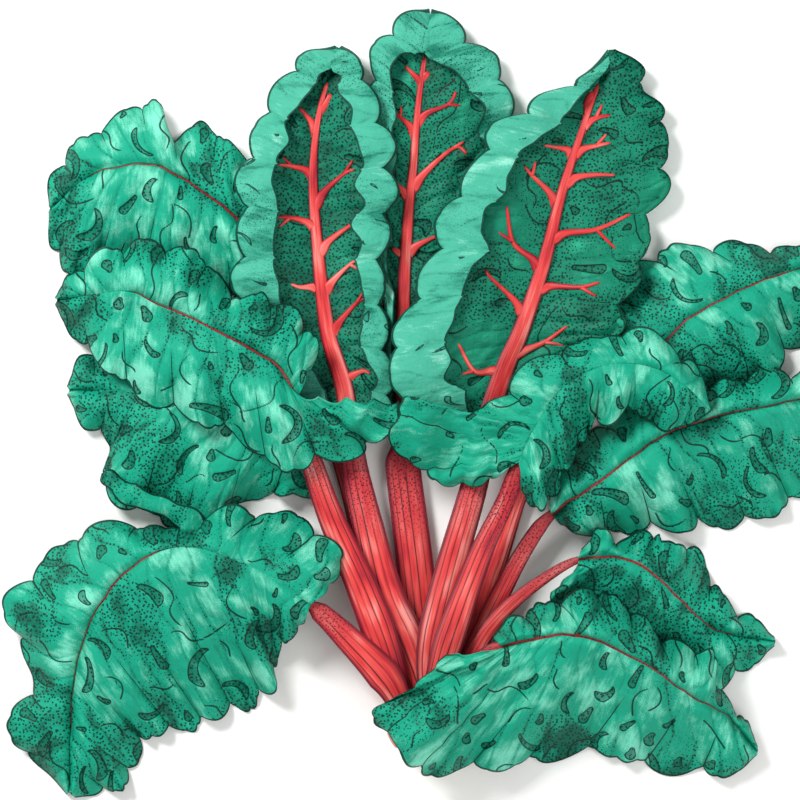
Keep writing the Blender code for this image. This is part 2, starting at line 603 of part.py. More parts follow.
def finish(piece, colour, roughness):
    """Give a piece its own material."""
    material = bpy.data.materials.new(piece.name)
    material.use_nodes = True
    shader = material.node_tree.nodes["Principled BSDF"]
    shader.inputs["Base Color"].default_value = (*colour, 1)
    shader.inputs["Roughness"].default_value = roughness
    shader.inputs["Metallic"].default_value = 0.0
    piece.data.materials.clear()
    piece.data.materials.append(material)


def keep_largest(mesh):
    """Drop the slivers that a union can leave beside the body."""
    shape = bmesh.new()
    shape.from_mesh(mesh)
    bodies, seen = [], set()
    for start in shape.verts:
        if start in seen:
            continue
        body, edge = {start}, [start]
        while edge:
            for link in edge.pop().link_edges:
                for vertex in link.verts:
                    if vertex not in body:
                        body.add(vertex)
                        edge.append(vertex)
        seen |= body
        bodies.append(body)
    largest = max(bodies, key=len)
    bmesh.ops.delete(shape, geom=[vertex for vertex in shape.verts if vertex not in largest])
    shape.to_mesh(mesh)
    shape.free()


def vein_arrays(route, surface):
    """A tapered side vein that lies just over the blade and starts inside the midrib."""
    path = Curve(route)
    count = max(3, round(path.length / VEIN_STEP) + 1)
    stations = np.linspace(0, path.length, count)
    centres = path.at(stations)
    radius = np.linspace(*VEIN_RADIUS, count)
    for k in range(1, count):
        x, y, z = centres[k]
        hit = surface.ray_cast(Vector((x, y, -1)), Vector((0, 0, 1)))
        if hit[0] is not None:
            centres[k, 2] = hit[0].z + VEIN_CLEAR + VEIN_FLATNESS * radius[k]
    to_left = sideways(path.heading(stations))
    points, triangles = [], []
    for k in range(count):
        for i in range(VEIN_SIDES):
            angle = 2 * math.pi * (i + VEIN_TURN) / VEIN_SIDES
            points.append(centres[k] + radius[k] * math.cos(angle) * to_left[k]
                          + (0, 0, VEIN_FLATNESS * radius[k] * math.sin(angle)))
    for k in range(count - 1):
        for i in range(VEIN_SIDES):
            a, b = k * VEIN_SIDES + i, k * VEIN_SIDES + (i + 1) % VEIN_SIDES
            triangles += [(a, b, b + VEIN_SIDES), (a, b + VEIN_SIDES, a + VEIN_SIDES)]
    last = (count - 1) * VEIN_SIDES
    for i in range(1, VEIN_SIDES - 1):
        triangles += [(0, i + 1, i), (last, last + i, last + i + 1)]
    return np.array(points), np.array(triangles)


def add_veins(leaf, stem, stem_points, halves_laid):
    """Join the upright leaf's side veins to its midrib, and give their points."""
    surface = BVHTree.FromPolygons(*halves_laid)
    extras = bpy.data.collections.new(leaf["name"] + "_veins")
    bpy.context.scene.collection.children.link(extras)
    midrib = Curve(stem_points.reshape(-1, STEM_SIDES, 3).mean(axis=1))
    middle = midrib.at(np.linspace(0, midrib.length, MIDRIB_STEPS))
    laid = []
    for number, route in enumerate(leaf["veins"]):
        start = middle[np.argmin(np.linalg.norm(middle[:, :2] - route[0], axis=1))]
        height = start[2] + VEIN_ROOT
        arrays = vein_arrays([(x, y, height) for x, y in [start[:2], *route[1:]]], surface)
        laid.append(arrays)
        vein = make_object(f"vein_{number}", *arrays)
        vein.parent = None
        bunch.objects.unlink(vein)
        extras.objects.link(vein)
    join = stem.modifiers.new("veins", "BOOLEAN")
    join.operation = "UNION"
    join.operand_type = "COLLECTION"
    join.collection = extras
    join.solver = "MANIFOLD"
    home = stem.parent
    stem.parent = None
    bpy.context.view_layer.update()
    shape = bpy.data.meshes.new_from_object(
        stem.evaluated_get(bpy.context.evaluated_depsgraph_get()))
    stem.modifiers.clear()
    keep_largest(shape)
    stem.data = shape
    stem.parent = home
    for vein in list(extras.objects):
        bpy.data.objects.remove(vein)
    bpy.data.collections.remove(extras)
    return laid


def make_crown():
    """A ribbed knob with a cut face below, a flat face to the stalks and a flat underside."""
    shape = bmesh.new()
    bmesh.ops.create_uvsphere(shape, u_segments=2 * CROWN_RIBS, v_segments=CROWN_RINGS,
                              radius=1.0)
    for vertex in shape.verts:
        x, y, z = vertex.co
        rib = 1.0 + CROWN_RIB_DEPTH * math.cos(CROWN_RIBS * math.atan2(y, x))
        across = math.copysign(abs(x) ** CROWN_SQUARENESS, x) * rib
        above = math.copysign(abs(y) ** CROWN_SQUARENESS, -y) * rib
        vertex.co = (CROWN_X + CROWN_HALF_WIDTH * across,
                     CROWN_FACE_Y - CROWN_BELLY + CROWN_LENGTH * z,
                     CROWN_CENTRE_Z + CROWN_HALF_HEIGHT * above)
    cuts = (((0, CROWN_FACE_Y, 0), (0, 1, 0)),
            ((0, CROWN_FACE_Y - CROWN_LENGTH, 0), (0, -1, 0)),
            ((0, 0, 0), (0, 0, -1)))
    for place, normal in cuts:
        everything = shape.verts[:] + shape.edges[:] + shape.faces[:]
        cut = bmesh.ops.bisect_plane(shape, geom=everything, plane_co=place, plane_no=normal,
                                     clear_outer=True)
        rim = [item for item in cut["geom_cut"] if isinstance(item, bmesh.types.BMEdge)]
        bmesh.ops.edgeloop_fill(shape, edges=rim)
    bmesh.ops.recalc_face_normals(shape, faces=shape.faces)
    bmesh.ops.triangulate(shape, faces=shape.faces)
    points = np.array([tuple(vertex.co) for vertex in shape.verts])
    triangles = np.array([[vertex.index for vertex in face.verts] for face in shape.faces])
    shape.free()
    crown = make_object("crown", points, triangles)
    crown.data.set_sharp_from_angle(angle=math.radians(CROWN_SHARP_ANGLE))
    finish(crown, CROWN_PINK, 0.6)
    return points, triangles


for old in list(bpy.data.objects):
    bpy.data.objects.remove(old)
bunch = bpy.data.collections.new("swiss_chard_bunch")
bpy.context.scene.collection.children.link(bunch)
origin = bpy.data.objects.new("bunch_origin", None)
bunch.objects.link(origin)

pile = Pile()
crown_points, crown_triangles = make_crown()
pile.add(crown_points - (0, 2 * CELL, 0), crown_triangles)   # clear of the stalks' ends
for order, leaf in enumerate(LEAVES):
    rng = np.random.default_rng(FIRST_SEED + order)
    path, blade_start, rib_end, halves, stem_at = shape_leaf(leaf, rng)
    blade_points, blade_triangles, edges = blade_arrays(halves)
    stem_points, stem_triangles = stem_arrays(leaf, path, blade_start, rib_end, stem_at)
    pile.lay([(stem_points, stem_triangles), (blade_points, blade_triangles)], edges)
    stem = make_object(leaf["name"] + "_stem", stem_points, stem_triangles)
    blade = make_object(leaf["name"] + "_blade", blade_points, blade_triangles)
    if "veins" in leaf:
        for arrays in add_veins(leaf, stem, stem_points, (blade_points.tolist(),
                                                          blade_triangles.tolist())):
            pile.add(*arrays)
    pile.add(stem_points, stem_triangles)
    pile.add(blade_points, blade_triangles)
    thicken = blade.modifiers.new("thickness", "SOLIDIFY")
    thicken.thickness = BLADE_THICKNESS * MM
    thicken.offset = 0.0
    stem.data.set_sharp_from_angle(angle=math.radians(RIB_ANGLE))
    finish(stem, STEM_RED, 0.4)
    finish(blade, BLADE_DARK if "band" in leaf else BLADE_GREEN, 0.5)

# The origin goes under the middle of the bunch.
bpy.context.view_layer.update()
graph = bpy.context.evaluated_depsgraph_get()
corners = []
for piece in bunch.objects:
    if piece.type == "MESH":
        shape = piece.evaluated_get(graph).to_mesh()
        corners.append(np.array([vertex.co for vertex in shape.vertices]))
corners = np.vstack(corners)
low, high = corners.min(axis=0), corners.max(axis=0)
origin.location = (-(low[0] + high[0]) / 2, -(low[1] + high[1]) / 2, -low[2])
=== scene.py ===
"""A bunch of red-stemmed Swiss chard, laid down on a pale table and seen from above.

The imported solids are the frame. Each leaf is grown again here on the lines of its solids, with
ribs, blisters and a ruffled margin, and takes the place of its plain stem and blade.
Lengths are millimetres on the bunch's own plan: +Y runs from the crown to the tall leaves' tips.
"""
import math

import bmesh
import bpy
import numpy as np
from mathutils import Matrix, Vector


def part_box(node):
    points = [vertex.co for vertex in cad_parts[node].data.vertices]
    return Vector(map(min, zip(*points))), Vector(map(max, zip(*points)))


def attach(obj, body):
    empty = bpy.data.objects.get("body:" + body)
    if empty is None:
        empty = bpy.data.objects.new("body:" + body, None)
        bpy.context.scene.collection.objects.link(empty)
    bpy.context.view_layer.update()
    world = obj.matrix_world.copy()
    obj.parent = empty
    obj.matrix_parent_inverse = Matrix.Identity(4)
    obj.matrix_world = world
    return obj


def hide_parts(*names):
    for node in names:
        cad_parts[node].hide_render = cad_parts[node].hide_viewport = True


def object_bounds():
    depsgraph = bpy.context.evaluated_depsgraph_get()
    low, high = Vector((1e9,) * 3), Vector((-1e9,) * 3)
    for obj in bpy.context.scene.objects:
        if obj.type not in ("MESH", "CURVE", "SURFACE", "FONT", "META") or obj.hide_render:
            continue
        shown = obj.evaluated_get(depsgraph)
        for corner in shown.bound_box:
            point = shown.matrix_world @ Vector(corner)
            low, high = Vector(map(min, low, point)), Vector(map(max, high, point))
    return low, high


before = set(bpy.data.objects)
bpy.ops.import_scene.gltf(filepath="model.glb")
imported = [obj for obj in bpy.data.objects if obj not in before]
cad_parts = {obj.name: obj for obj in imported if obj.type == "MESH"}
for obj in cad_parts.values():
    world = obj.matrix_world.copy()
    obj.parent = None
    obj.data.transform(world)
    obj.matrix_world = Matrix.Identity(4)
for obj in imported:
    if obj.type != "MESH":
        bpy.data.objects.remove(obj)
cad_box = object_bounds()
MM = 0.001

# The crown, the short heel that all the stalks grow from.
# It is pink and fleshy, ribbed by the bases of the outer leaves, and was cut off flat below with
# a knife, so that face shows rings of pale fibres and has browned a little at its rim.
CROWN_X = 18.6
CROWN_FACE_Y = -188.0
CROWN_LENGTH = 27.0
CROWN_HALF_WIDTH = 28.0
CROWN_HALF_HEIGHT = 24.0
CROWN_CENTRE_Z = 19.5
CROWN_RIBS = 9
CROWN_SQUARENESS = 0.78
CROWN_BELLY = 8.0
CROWN_RIB_DEPTH = 0.04        # as a share of its half width
FIBRES = 63
FIBRE_DEPTH = 0.007
CROWN_SIDES = 360
CROWN_ROWS = 90
CUT_RINGS = 1.9               # how close the cut face's rings are, in radians for each millimetre
BROWNED_FROM = 24.0           # how far from the core its browned rim begins


def paint(red, green, blue):
    """A colour as it looks on paper, out of 255, turned into light."""
    return tuple(((c / 255 + 0.055) / 1.055) ** 2.4 for c in (red, green, blue)) + (1.0,)


def add(tree, kind, inputs=None, **settings):
    """A node with its settings, its inputs given as values or joined to other nodes' outputs."""
    made = tree.nodes.new(kind)
    for name, value in settings.items():
        setattr(made, name, value)
    for key, value in (inputs or {}).items():
        if isinstance(value, Amount):
            value = value.socket
        if isinstance(value, bpy.types.NodeSocket):
            tree.links.new(value, made.inputs[key])
        else:
            made.inputs[key].default_value = value
    return made


class Amount:
    """A number that a material works out at each point, for sums written as on plain numbers."""

    def __init__(self, tree, socket):
        self.tree, self.socket = tree, socket

    def step(self, operation, *others):
        made = add(self.tree, "ShaderNodeMath", dict(enumerate([self, *others])),
                   operation=operation)
        return Amount(self.tree, made.outputs[0])

    def __add__(self, other):
        return self.step("ADD", other)

    def __sub__(self, other):
        return self.step("SUBTRACT", other)

    def __mul__(self, other):
        return self.step("MULTIPLY", other)

    def __lt__(self, other):
        return self.step("LESS_THAN", other)

    def __gt__(self, other):
        return self.step("GREATER_THAN", other)

    def __abs__(self):
        return self.step("ABSOLUTE")


def blend_paint(tree, amount, under, over):
    """One colour washed over another."""
    mixed = add(tree, "ShaderNodeMixRGB", {"Fac": amount, "Color1": under, "Color2": over})
    return mixed.outputs[0]


def marks_of(tree, *names):
    """Numbers that the mesh carries at each of its points."""
    return [Amount(tree, add(tree, "ShaderNodeAttribute", attribute_name=name).outputs["Fac"])
            for name in names]


def grain(tree, place, stretch, detail=3.0):
    """Cloudy variation, stretched over the surface."""
    where = add(tree, "ShaderNodeVectorMath", {0: place, 1: stretch}, operation="MULTIPLY")
    noise = add(tree, "ShaderNodeTexNoise", {"Vector": where.outputs[0], "Scale": 1.0,
                                             "Detail": detail})
    return Amount(tree, noise.outputs["Fac"])


def new_skin(name, roughness):
    """A material's node tree and its shader."""
    skin = bpy.data.materials.new(name)
    skin.use_nodes = True
    shader = skin.node_tree.nodes["Principled BSDF"]
    shader.inputs["Roughness"].default_value = roughness
    return skin, skin.node_tree, shader


def emboss(tree, shader, height, strength):
    """Fine relief, its height given in millimetres."""
    bump = add(tree, "ShaderNodeBump", {"Height": height, "Strength": strength, "Distance": MM})
    tree.links.new(bump.outputs[0], shader.inputs["Normal"])


def crown_skin():
    """Pink, fibrous flesh, and a pale, ringed cut face with a browned rim."""
    skin, tree, shader = new_skin("crown_skin", 0.55)
    place = add(tree, "ShaderNodeTexCoord").outputs["Object"]
    fibres = grain(tree, place, (420.0, 35.0, 420.0), 4.0)
    from_core, cut_face = marks_of(tree, "from_core", "cut_face")
    rings = (from_core * CUT_RINGS).step("SINE")
    flesh = blend_paint(tree, fibres, paint(214, 108, 104), paint(243, 176, 162))
    cut = blend_paint(tree, rings * 0.35 + 0.5, paint(231, 206, 170), paint(246, 232, 208))
    cut = blend_paint(tree, (from_core > BROWNED_FROM) * 0.6, cut, paint(176, 120, 82))
    tree.links.new(blend_paint(tree, cut_face, flesh, cut), shader.inputs["Base Color"])
    emboss(tree, shader, fibres, 0.5)
    return skin


def crown_shape():
    """The same knob as the solid, with finer ribs and fibres."""
    shape = bmesh.new()
    bmesh.ops.create_uvsphere(shape, u_segments=CROWN_SIDES, v_segments=CROWN_ROWS,
                              radius=1.0)
    for vertex in shape.verts:
        x, y, z = vertex.co
        angle = math.atan2(y, x)
        rib = (1.0 + CROWN_RIB_DEPTH * math.cos(CROWN_RIBS * angle)
               + FIBRE_DEPTH * math.cos(FIBRES * angle))
        across = math.copysign(abs(x) ** CROWN_SQUARENESS, x) * rib
        above = math.copysign(abs(y) ** CROWN_SQUARENESS, -y) * rib
        vertex.co = (CROWN_X + CROWN_HALF_WIDTH * across,
                     CROWN_FACE_Y - CROWN_BELLY + CROWN_LENGTH * z,
                     CROWN_CENTRE_Z + CROWN_HALF_HEIGHT * above)
    for place, normal in (((0, CROWN_FACE_Y, 0), (0, 1, 0)),
                          ((0, CROWN_FACE_Y - CROWN_LENGTH, 0), (0, -1, 0)),
                          ((0, 0, 0), (0, 0, -1))):
        everything = shape.verts[:] + shape.edges[:] + shape.faces[:]
        cut = bmesh.ops.bisect_plane(shape, geom=everything, plane_co=place, plane_no=normal,
                                     clear_outer=True)
        rim = [item for item in cut["geom_cut"] if isinstance(item, bmesh.types.BMEdge)]
        bmesh.ops.edgeloop_fill(shape, edges=rim)
    bmesh.ops.recalc_face_normals(shape, faces=shape.faces)
    mesh = bpy.data.meshes.new("crown_heel")
    shape.to_mesh(mesh)
    shape.free()
    return mesh


def spots_of(mesh):
    """A mesh's points, as rows of x, y and z."""
    spots = np.zeros(len(mesh.vertices) * 3)
    mesh.vertices.foreach_get("co", spots)
    return spots.reshape(-1, 3)


def carry(mesh, name, values):
    """Give every point of a mesh a value, or three, that its material reads."""
    values = np.asarray(values, float)
    kind, field = ("FLOAT", "value") if values.ndim == 1 else ("FLOAT_VECTOR", "vector")
    mesh.attributes.new(name, kind, "POINT").data.foreach_set(field, values.ravel())


def stand_for(piece, skin, slot, *nodes):
    """Put a piece in the place of its solids, in its own finish."""
    bpy.context.scene.collection.objects.link(piece)
    piece.data.materials.clear()
    for layer in skin:
        piece.data.materials.append(layer)
    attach(piece, "root")
    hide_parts(*nodes)


crown_mesh = crown_shape()
crown_points = spots_of(crown_mesh)
low, high = (np.array(corner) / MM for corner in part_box("crown"))
# Where the bunch's plan lies in the row frame: over the solid of the crown.
plan_shift = ((low + high - crown_points.min(0) - crown_points.max(0)) / 2) * (1, 1, 0)
core = np.hypot(crown_points[:, 0] - CROWN_X, crown_points[:, 2] - CROWN_CENTRE_Z)
carry(crown_mesh, "from_core", core)
carry(crown_mesh, "cut_face", crown_points[:, 1] < CROWN_FACE_Y - CROWN_LENGTH + 0.05)
crown_mesh.vertices.foreach_set("co", ((crown_points + plan_shift) * MM).ravel())
crown_mesh.shade_smooth()
crown_mesh.set_sharp_from_angle(angle=math.radians(40))
crown = bpy.data.objects.new("crown_heel", crown_mesh)
stand_for(crown, [crown_skin()], "crown_heel", "crown")


# The leaves that fall to the sides, three on the left and three on the right.
# Each is one leaf: a ribbed red stalk that runs on as a thin midrib, and a green, blistered blade
# with ruffled lobes that hangs down to the table on both sides of the midrib.
ROUTE_STEPS = 24              # between two hand-placed points
LOBE_LENGTH = 31.0
LOBE_OUT = 8.0
LOBE_ROUNDNESS = 0.75         # below 1, the lobes are blunt with narrow notches between them
LOBE_SIZES = (0.6, 1.3)
LOBE_MEAN = 0.4               # the part of a lobe that stands inside the given margin
LOBE_WAVE = 8.5
END_FADE = 0.10
ROWS_PER_LOBE = 32
COLUMN_WIDTH = 1.05
BLADE_THICKNESS = 0.7
NARROW = 14.0                 # where half a blade is narrower than this, it is smoother
TABLE_SOFTNESS = 3.0
LEAF_APART = 50.0             # how far apart two leaves lie in the grain of their colours
GRAIN_ROUND = 40.0            # how much of that grain goes round a stem
LOWEST = 0.5                  # the middle of a blade that lies on the table
SLIT = (1.05, 0.4)            # half the line where the midrib shows, at its base and at its tip
SHOW_FADE = 0.08              # the share of the blade over which that line opens or closes
SLIT_WANDER = (0.6, 9.0)      # how far that line strays to either side, and over what length
UNDER_GAP = 1.4
CHANNEL_DEPTH = 1.9           # how far the blade dips to its midrib
CHANNEL_WIDTH = 5.0
SCALLOP_OUT = 1.9             # the small scallops on each lobe
SCALLOPS_PER_LOBE = 1.7
SCALLOP_MEAN = 0.6
SCALLOP_DRIFT = (0.4, 3.7)    # how far they crowd together, and how often
RUFFLES_PER_SCALLOP = 0.8
RUFFLE_DRIFT = (0.15, 2.3)
CALM = 0.35                   # how much of both the upright leaves have
RUFFLE = 3.2                  # the small waves of the margin
START_SCALLOP = 4.5           # the scallops where the blade starts beside the stalk
START_SCALLOP_WIDTH = 17.0
START_DEPTH = 14.0            # how far up the blade they reach
QUILT = 1.5                   # how far the blade swells between its side veins
QUILTS_PER_LOBE = 2.0
QUILT_SHARPNESS = 0.6
QUILT_MEAN = 0.65
QUILT_FURROW = 0.55           # how broad the furrows between the swellings are, which take painted shade
QUILT_WARP = (17.0, 0.22)     # the size and the strength of the bends in their rows
VEIN_SWEEP = 0.45             # how far the side veins lean to the tip, in lobes
HILL_CELLS = 64
HILLS = ((38.0, 1.8), (14.0, 1.2), (5.5, 0.5))   # size and height of the blade's crinkles
BLISTER_PITCH = 20.0
CREASE_LENGTH = (5.0, 12.0)   # half of it, for the puckers that stay open lines
CREASE_WIDTH = 0.2
CREASE_BEND = 0.09
CREASE_TWIST = 0.012
BLISTER_LENGTH = (1.3, 10.0)  # half of it
BLISTER_WIDTH = (1.1, 2.7)    # half of it
BLISTER_DEPTH = 1.5
BLISTER_ROOM = (6.0, 3.5)     # how near they come to the midrib and to the margin
BLISTER_SPACING = 0.72        # the least space between two, in pitches
BLISTER_TRIES = 12
BLISTERS_INSIDE = 0.3         # how many there are beside the midrib, as a share of those outside
BLISTER_LEAN = 0.55
BLISTER_TAPER = 0.35
BLISTER_WALL = 1.6            # how wide its sloping wall is
BLISTER_LIP = (0.35, 1.2, 0.8)    # the lip round it: its height, how far out it is, its width
BLISTER_BEND = 0.08
FOLD_DEPTH = 1.1              # the creases that run in from the notches between the lobes
FOLD_WIDTH = 1.6
FOLD_REACH = (0.35, 0.8)      # where on the way out to the margin they begin
FOLD_FADE = 0.2
FOLD_BEND = 1.7               # how many lobes on they bend to another side
FOLD_LOST = 12.0              # how much farther off a crease counts before it begins
FAR = 3.0                     # beyond this a blister no longer counts
STROKES = (0.5, 0.11, 1.0)    # how fine the blade's strokes, clouds and paper grain are
CLOUDS = (0.06, 0.05, 1.0)
PAPER = (1.7, 1.5, 1.0)
CLOUDS_BY = 1.2               # how much they and the shade change the green
PAPER_BY = 0.5
SHADE_BY = -0.6
DOTS_INSIDE = 0.5             # how much the painted shade dots darken a blister
LARGEST_DOT = 0.27
BLADE_DOTS = 430.0            # to the metre
RING_LINE = 0.38              # half the width of the painted shade line round a blister
FOLD_LINE = 0.4
EDGE_LINE = 1.2
STEM_SIDES = 168
STEM_RIBS = 14
STEM_STEP = 3.0
GROOVE_DEPTH = 0.085          # as a share of the stem's half width
GROOVE_WIDTH = 0.14           # as a share of the space between two grooves
FLAT_TOP = 0.7
STEM_FLATNESS = 0.55          # how thick a stem is, as a share of its width
STEM_THICKNESS = (0.9, 7.5)
STALK_MARKS = (0.25, 0.92)    # where a stalk is broadest and where it has narrowed to its blade
END_WIDTH = 0.9
RIB_TAIL = 0.15               # how far the midrib runs on past its last width, in lobes
STEM_STROKES = (0.9, 0.035, 1.0)    # how fine a stem's strokes and patches are
STEM_PATCHES = (0.10, 0.022, 1.0)
STEM_DOTS = 460.0             # to the metre
LARGEST_STEM_DOT = 0.23
BROAD_STEM = 8.0              # from this width on, the grooves get no deeper
GROOVE_DRIFT = (0.25, 90.0)   # how far a groove strays to the next one, and over what length
GROOVES_DEEP = (0.45, 1.0)
FAINT_GROOVE = 0.58           # a groove less deep than this shows no painted shade line
SMOOTHED = (0.8, 25.0, 30.0)  # how smooth a stem gets at its blade, how far before it, how soon
TURNING = (45.0, 0.3)         # how far before its blade the painted shadow of the blade darkens it, and at most as a share
DOTTED = (95.0, 0.55)         # how far before its blade its painted shade dots begin, in the same way
BLADE_SHADE = 0.31
SHADE_SIZE = 30.0             # how broad the clouds of shade on a blade are
TONE_SHARPNESS = 1.8          # how sharply a patch of painted shadow or painted light ends
TONE_EDGE = (12.0, 0.25)      # the size and the depth of the bays in its edge
CURL_RUFFLE = 1.6
CURL_ROOT = 7.0               # how soon the curled lobe takes its own shape
CURL_WAVER = 0.12             # how uneven the curled lobe's margins are
CURL_PUFF = 2.5
SUNK_IN_CROWN = 1.5
CELL = 1.5
TABLE_LOW = np.array((-270.0, -275.0))
TABLE_HIGH = np.array((330.0, 275.0))
NOTHING = -1000.0             # the height of a cell that holds nothing
TABLE_CELLS = ((TABLE_HIGH - TABLE_LOW) / CELL).astype(int)
NEAR_ENOUGH = 0.2             # a lift below this is left out
CLEARANCE = 1.5
REACH = 7
LAY_ROUNDS = 6
TOP_SPARE = 1.0
FIRST_SEED = 40
# The leaves from the lowest in the pile to the highest.
LAID = ["side_left_upper", "tall_middle", "side_right_upper", "side_left_lower", "tall_left",
        "side_right_middle", "tall_right", "side_left_middle", "side_right_lower", "front_fold",
        "bottom_left", "bottom_right"]

SIDE_LEAVES = [
    {
        "name": "side_left_upper",
        "stalk": [(1, -188, 6), (-5, -149, 7), (-21, -93, 7), (-34, -43, 8), (-62, 43, 10),
                  (-84, 86, 13)],
        "midrib": [(-93, 104, 15), (-115, 124, 19), (-133, 136, 21), (-155, 146, 22),
                   (-177, 144, 20), (-195, 138, 15), (-217, 119, 5)],
        "left": [(-94, 86, 9), (-99, 67, 4), (-127, 68, 2), (-161, 71, 1), (-192, 78, 2),
                 (-210, 86, 2), (-217, 102, 3), (-219, 118, 3)],
        "right": [(-92, 146, 6), (-104, 156, 4), (-121, 170, 3), (-140, 162, 5), (-149, 179, 3),
                  (-166, 183, 2), (-186, 169, 3), (-206, 155, 2), (-217, 136, 3), (-219, 120, 3)],
        "widths": (15.0, 16.0, 9.0, 6.0, 2.0), "puff": 7.0, "shows": (-1.0, 0.84),
        "painted_light_and_shade": ((-118, 143, 20, 0.75), (-205, 105, 18, 0.7), (-172, 112, 28, 0.15)),
    },
    {
        "name": "side_right_upper",
        "stalk": [(36, -188, 6), (45, -149, 7), (61, -99, 7), (81, -43, 9), (112, -6, 11)],
        "midrib": [(149, 19, 14), (162, 34, 17), (181, 52, 20), (211, 68, 20), (248, 82, 16),
                   (290, 90, 5)],
        "left": [(138, 31, 8), (131, 56, 4), (149, 84, 3), (180, 93, 2), (211, 95, 3),
                 (248, 95, 2), (276, 102, 2), (296, 92, 3)],
        "right": [(164, 14, 7), (186, 8, 5), (211, 9, 3), (234, 22, 2), (248, 37, 2),
                  (274, 51, 2), (291, 68, 2), (298, 88, 3)],
        "widths": (14.0, 14.0, 8.0, 6.0, 2.0), "puff": 7.0,
        "painted_light_and_shade": ((155, 60, 26, 0.7), (230, 50, 22, 0.2), (205, 20, 20, 0.65)), "shade": 0.42,
    },
    {
        "name": "side_left_lower",
        "stalk": [(1, -188, 15), (-9, -152, 16), (-26, -108, 16), (-40, -74, 16)],
        "midrib": [(-48, -56, 17), (-57, -40, 19), (-74, -23, 22), (-105, -7, 24), (-136, 1, 22),
                   (-167, 5, 16), (-205, 6, 5)],
        "left": [(-51, -62, 9), (-70, -56, 6), (-86, -62, 4), (-102, -64, 3), (-120, -82, 3),
                 (-138, -79, 6), (-150, -67, 3), (-169, -65, 4), (-185, -48, 2), (-181, -28, 3),
                 (-196, -12, 2), (-208, 4, 3)],
        "right": [(-56, -34, 10), (-81, 0, 7), (-112, 16, 5), (-149, 28, 4), (-180, 34, 3),
                  (-191, 30, 4), (-202, 17, 3), (-208, 8, 3)],
        "widths": (15.0, 17.0, 10.0, 6.0, 2.0), "puff": 7.0, "shows": (3.0, 2.0),
        "painted_light_and_shade": ((-185, 2, 22, 0.7), (-150, -35, 24, 0.65), (-100, -45, 22, 0.25)),
    },
    {
        "name": "side_right_middle",
        "stalk": [(36, -188, 15), (48, -152, 16), (62, -121, 17), (79, -90, 18)],
        "midrib": [(94, -71, 20), (124, -50, 26), (149, -31, 30), (174, -17, 31), (205, -8, 28),
                   (245, 0, 20), (293, 8, 5)],
        "left": [(92, -62, 12), (99, -43, 9), (115, -28, 7), (140, -7, 6), (180, 1, 5),
                 (211, 12, 4), (245, 16, 3), (279, 23, 3), (300, 12, 3)],
        "right": [(100, -78, 11), (118, -82, 7), (149, -79, 4), (180, -77, 3), (211, -76, 2),
                  (245, -63, 2), (279, -43, 2), (300, -1, 3)],
        "widths": (14.0, 15.0, 9.5, 6.0, 2.0), "puff": 8.0,
        "painted_light_and_shade": ((150, -48, 28, 0.1), (205, -50, 24, 0.5), (235, -5, 22, 0.15)),
    },
    {
        "name": "side_left_middle",
        "stalk": [(1, -188, 24), (-9, -154, 25), (-25, -112, 25), (-42, -74, 25), (-54, -40, 26),
                  (-60, -19, 28)],
        "midrib": [(-64, 1, 33), (-74, 20, 38), (-90, 30, 40), (-107, 40, 40), (-127, 50, 38),
                   (-149, 59, 34), (-170, 67, 26), (-212, 62, 5)],
        "left": [(0, -1, 38), (-4, -17, 37), (-22, -28, 36), (-50, -37, 35), (-74, -40, 28),
                 (-93, -29, 22), (-108, -17, 16), (-130, -6, 12), (-152, -2, 8), (-174, 14, 5),
                 (-193, 32, 4), (-207, 48, 3), (-215, 60, 3)],
        "right": [(-55, 21, 34), (-52, 34, 30), (-68, 55, 22), (-86, 62, 18), (-97, 60, 18),
                  (-110, 71, 12), (-121, 86, 9), (-140, 92, 6), (-164, 95, 4), (-186, 86, 3),
                  (-203, 78, 4), (-215, 63, 3)],
        "widths": (15.0, 22.0, 12.0, 6.0, 2.0), "puff": 7.0, "shows": (-1.0, 0.75),
        "fans": ([(0, 0), (0.08, 0.26), (0.5, 0.6), (1, 1)], []),
        "painted_light_and_shade": ((-80, 50, 20, 0.75), (-127, 78, 15, 0.7), (-80, -8, 34, 0.08),
                  (-172, 66, 18, 0.15), (-200, 40, 14, 0.6), (-20, -14, 22, 0.3)),
    },
    {
        "name": "side_right_lower",
        "stalk": [(36, -188, 24), (46, -156, 25), (65, -130, 25), (90, -110, 25)],
        "midrib": [(110, -99, 26), (130, -97, 28), (149, -102, 28), (164, -114, 26),
                   (181, -131, 20), (198, -144, 12), (233, -150, 4)],
        "left": [(113, -92, 20), (125, -82, 16), (141, -90, 12), (158, -82, 9), (164, -92, 9),
                 (179, -91, 6), (189, -104, 5), (200, -124, 4), (212, -135, 3), (234, -148, 3)],
        "right": [(109, -105, 20), (97, -119, 14), (100, -131, 10), (118, -141, 6),
                  (143, -150, 4), (180, -166, 2), (197, -176, 2), (217, -166, 2), (234, -153, 3)],
        "widths": (13.0, 12.0, 6.0, 4.5, 2.0), "puff": 7.0,
        "painted_light_and_shade": ((128, -112, 20, 0.75), (182, -136, 24, 0.7), (215, -150, 16, 0.65)),
    },
]


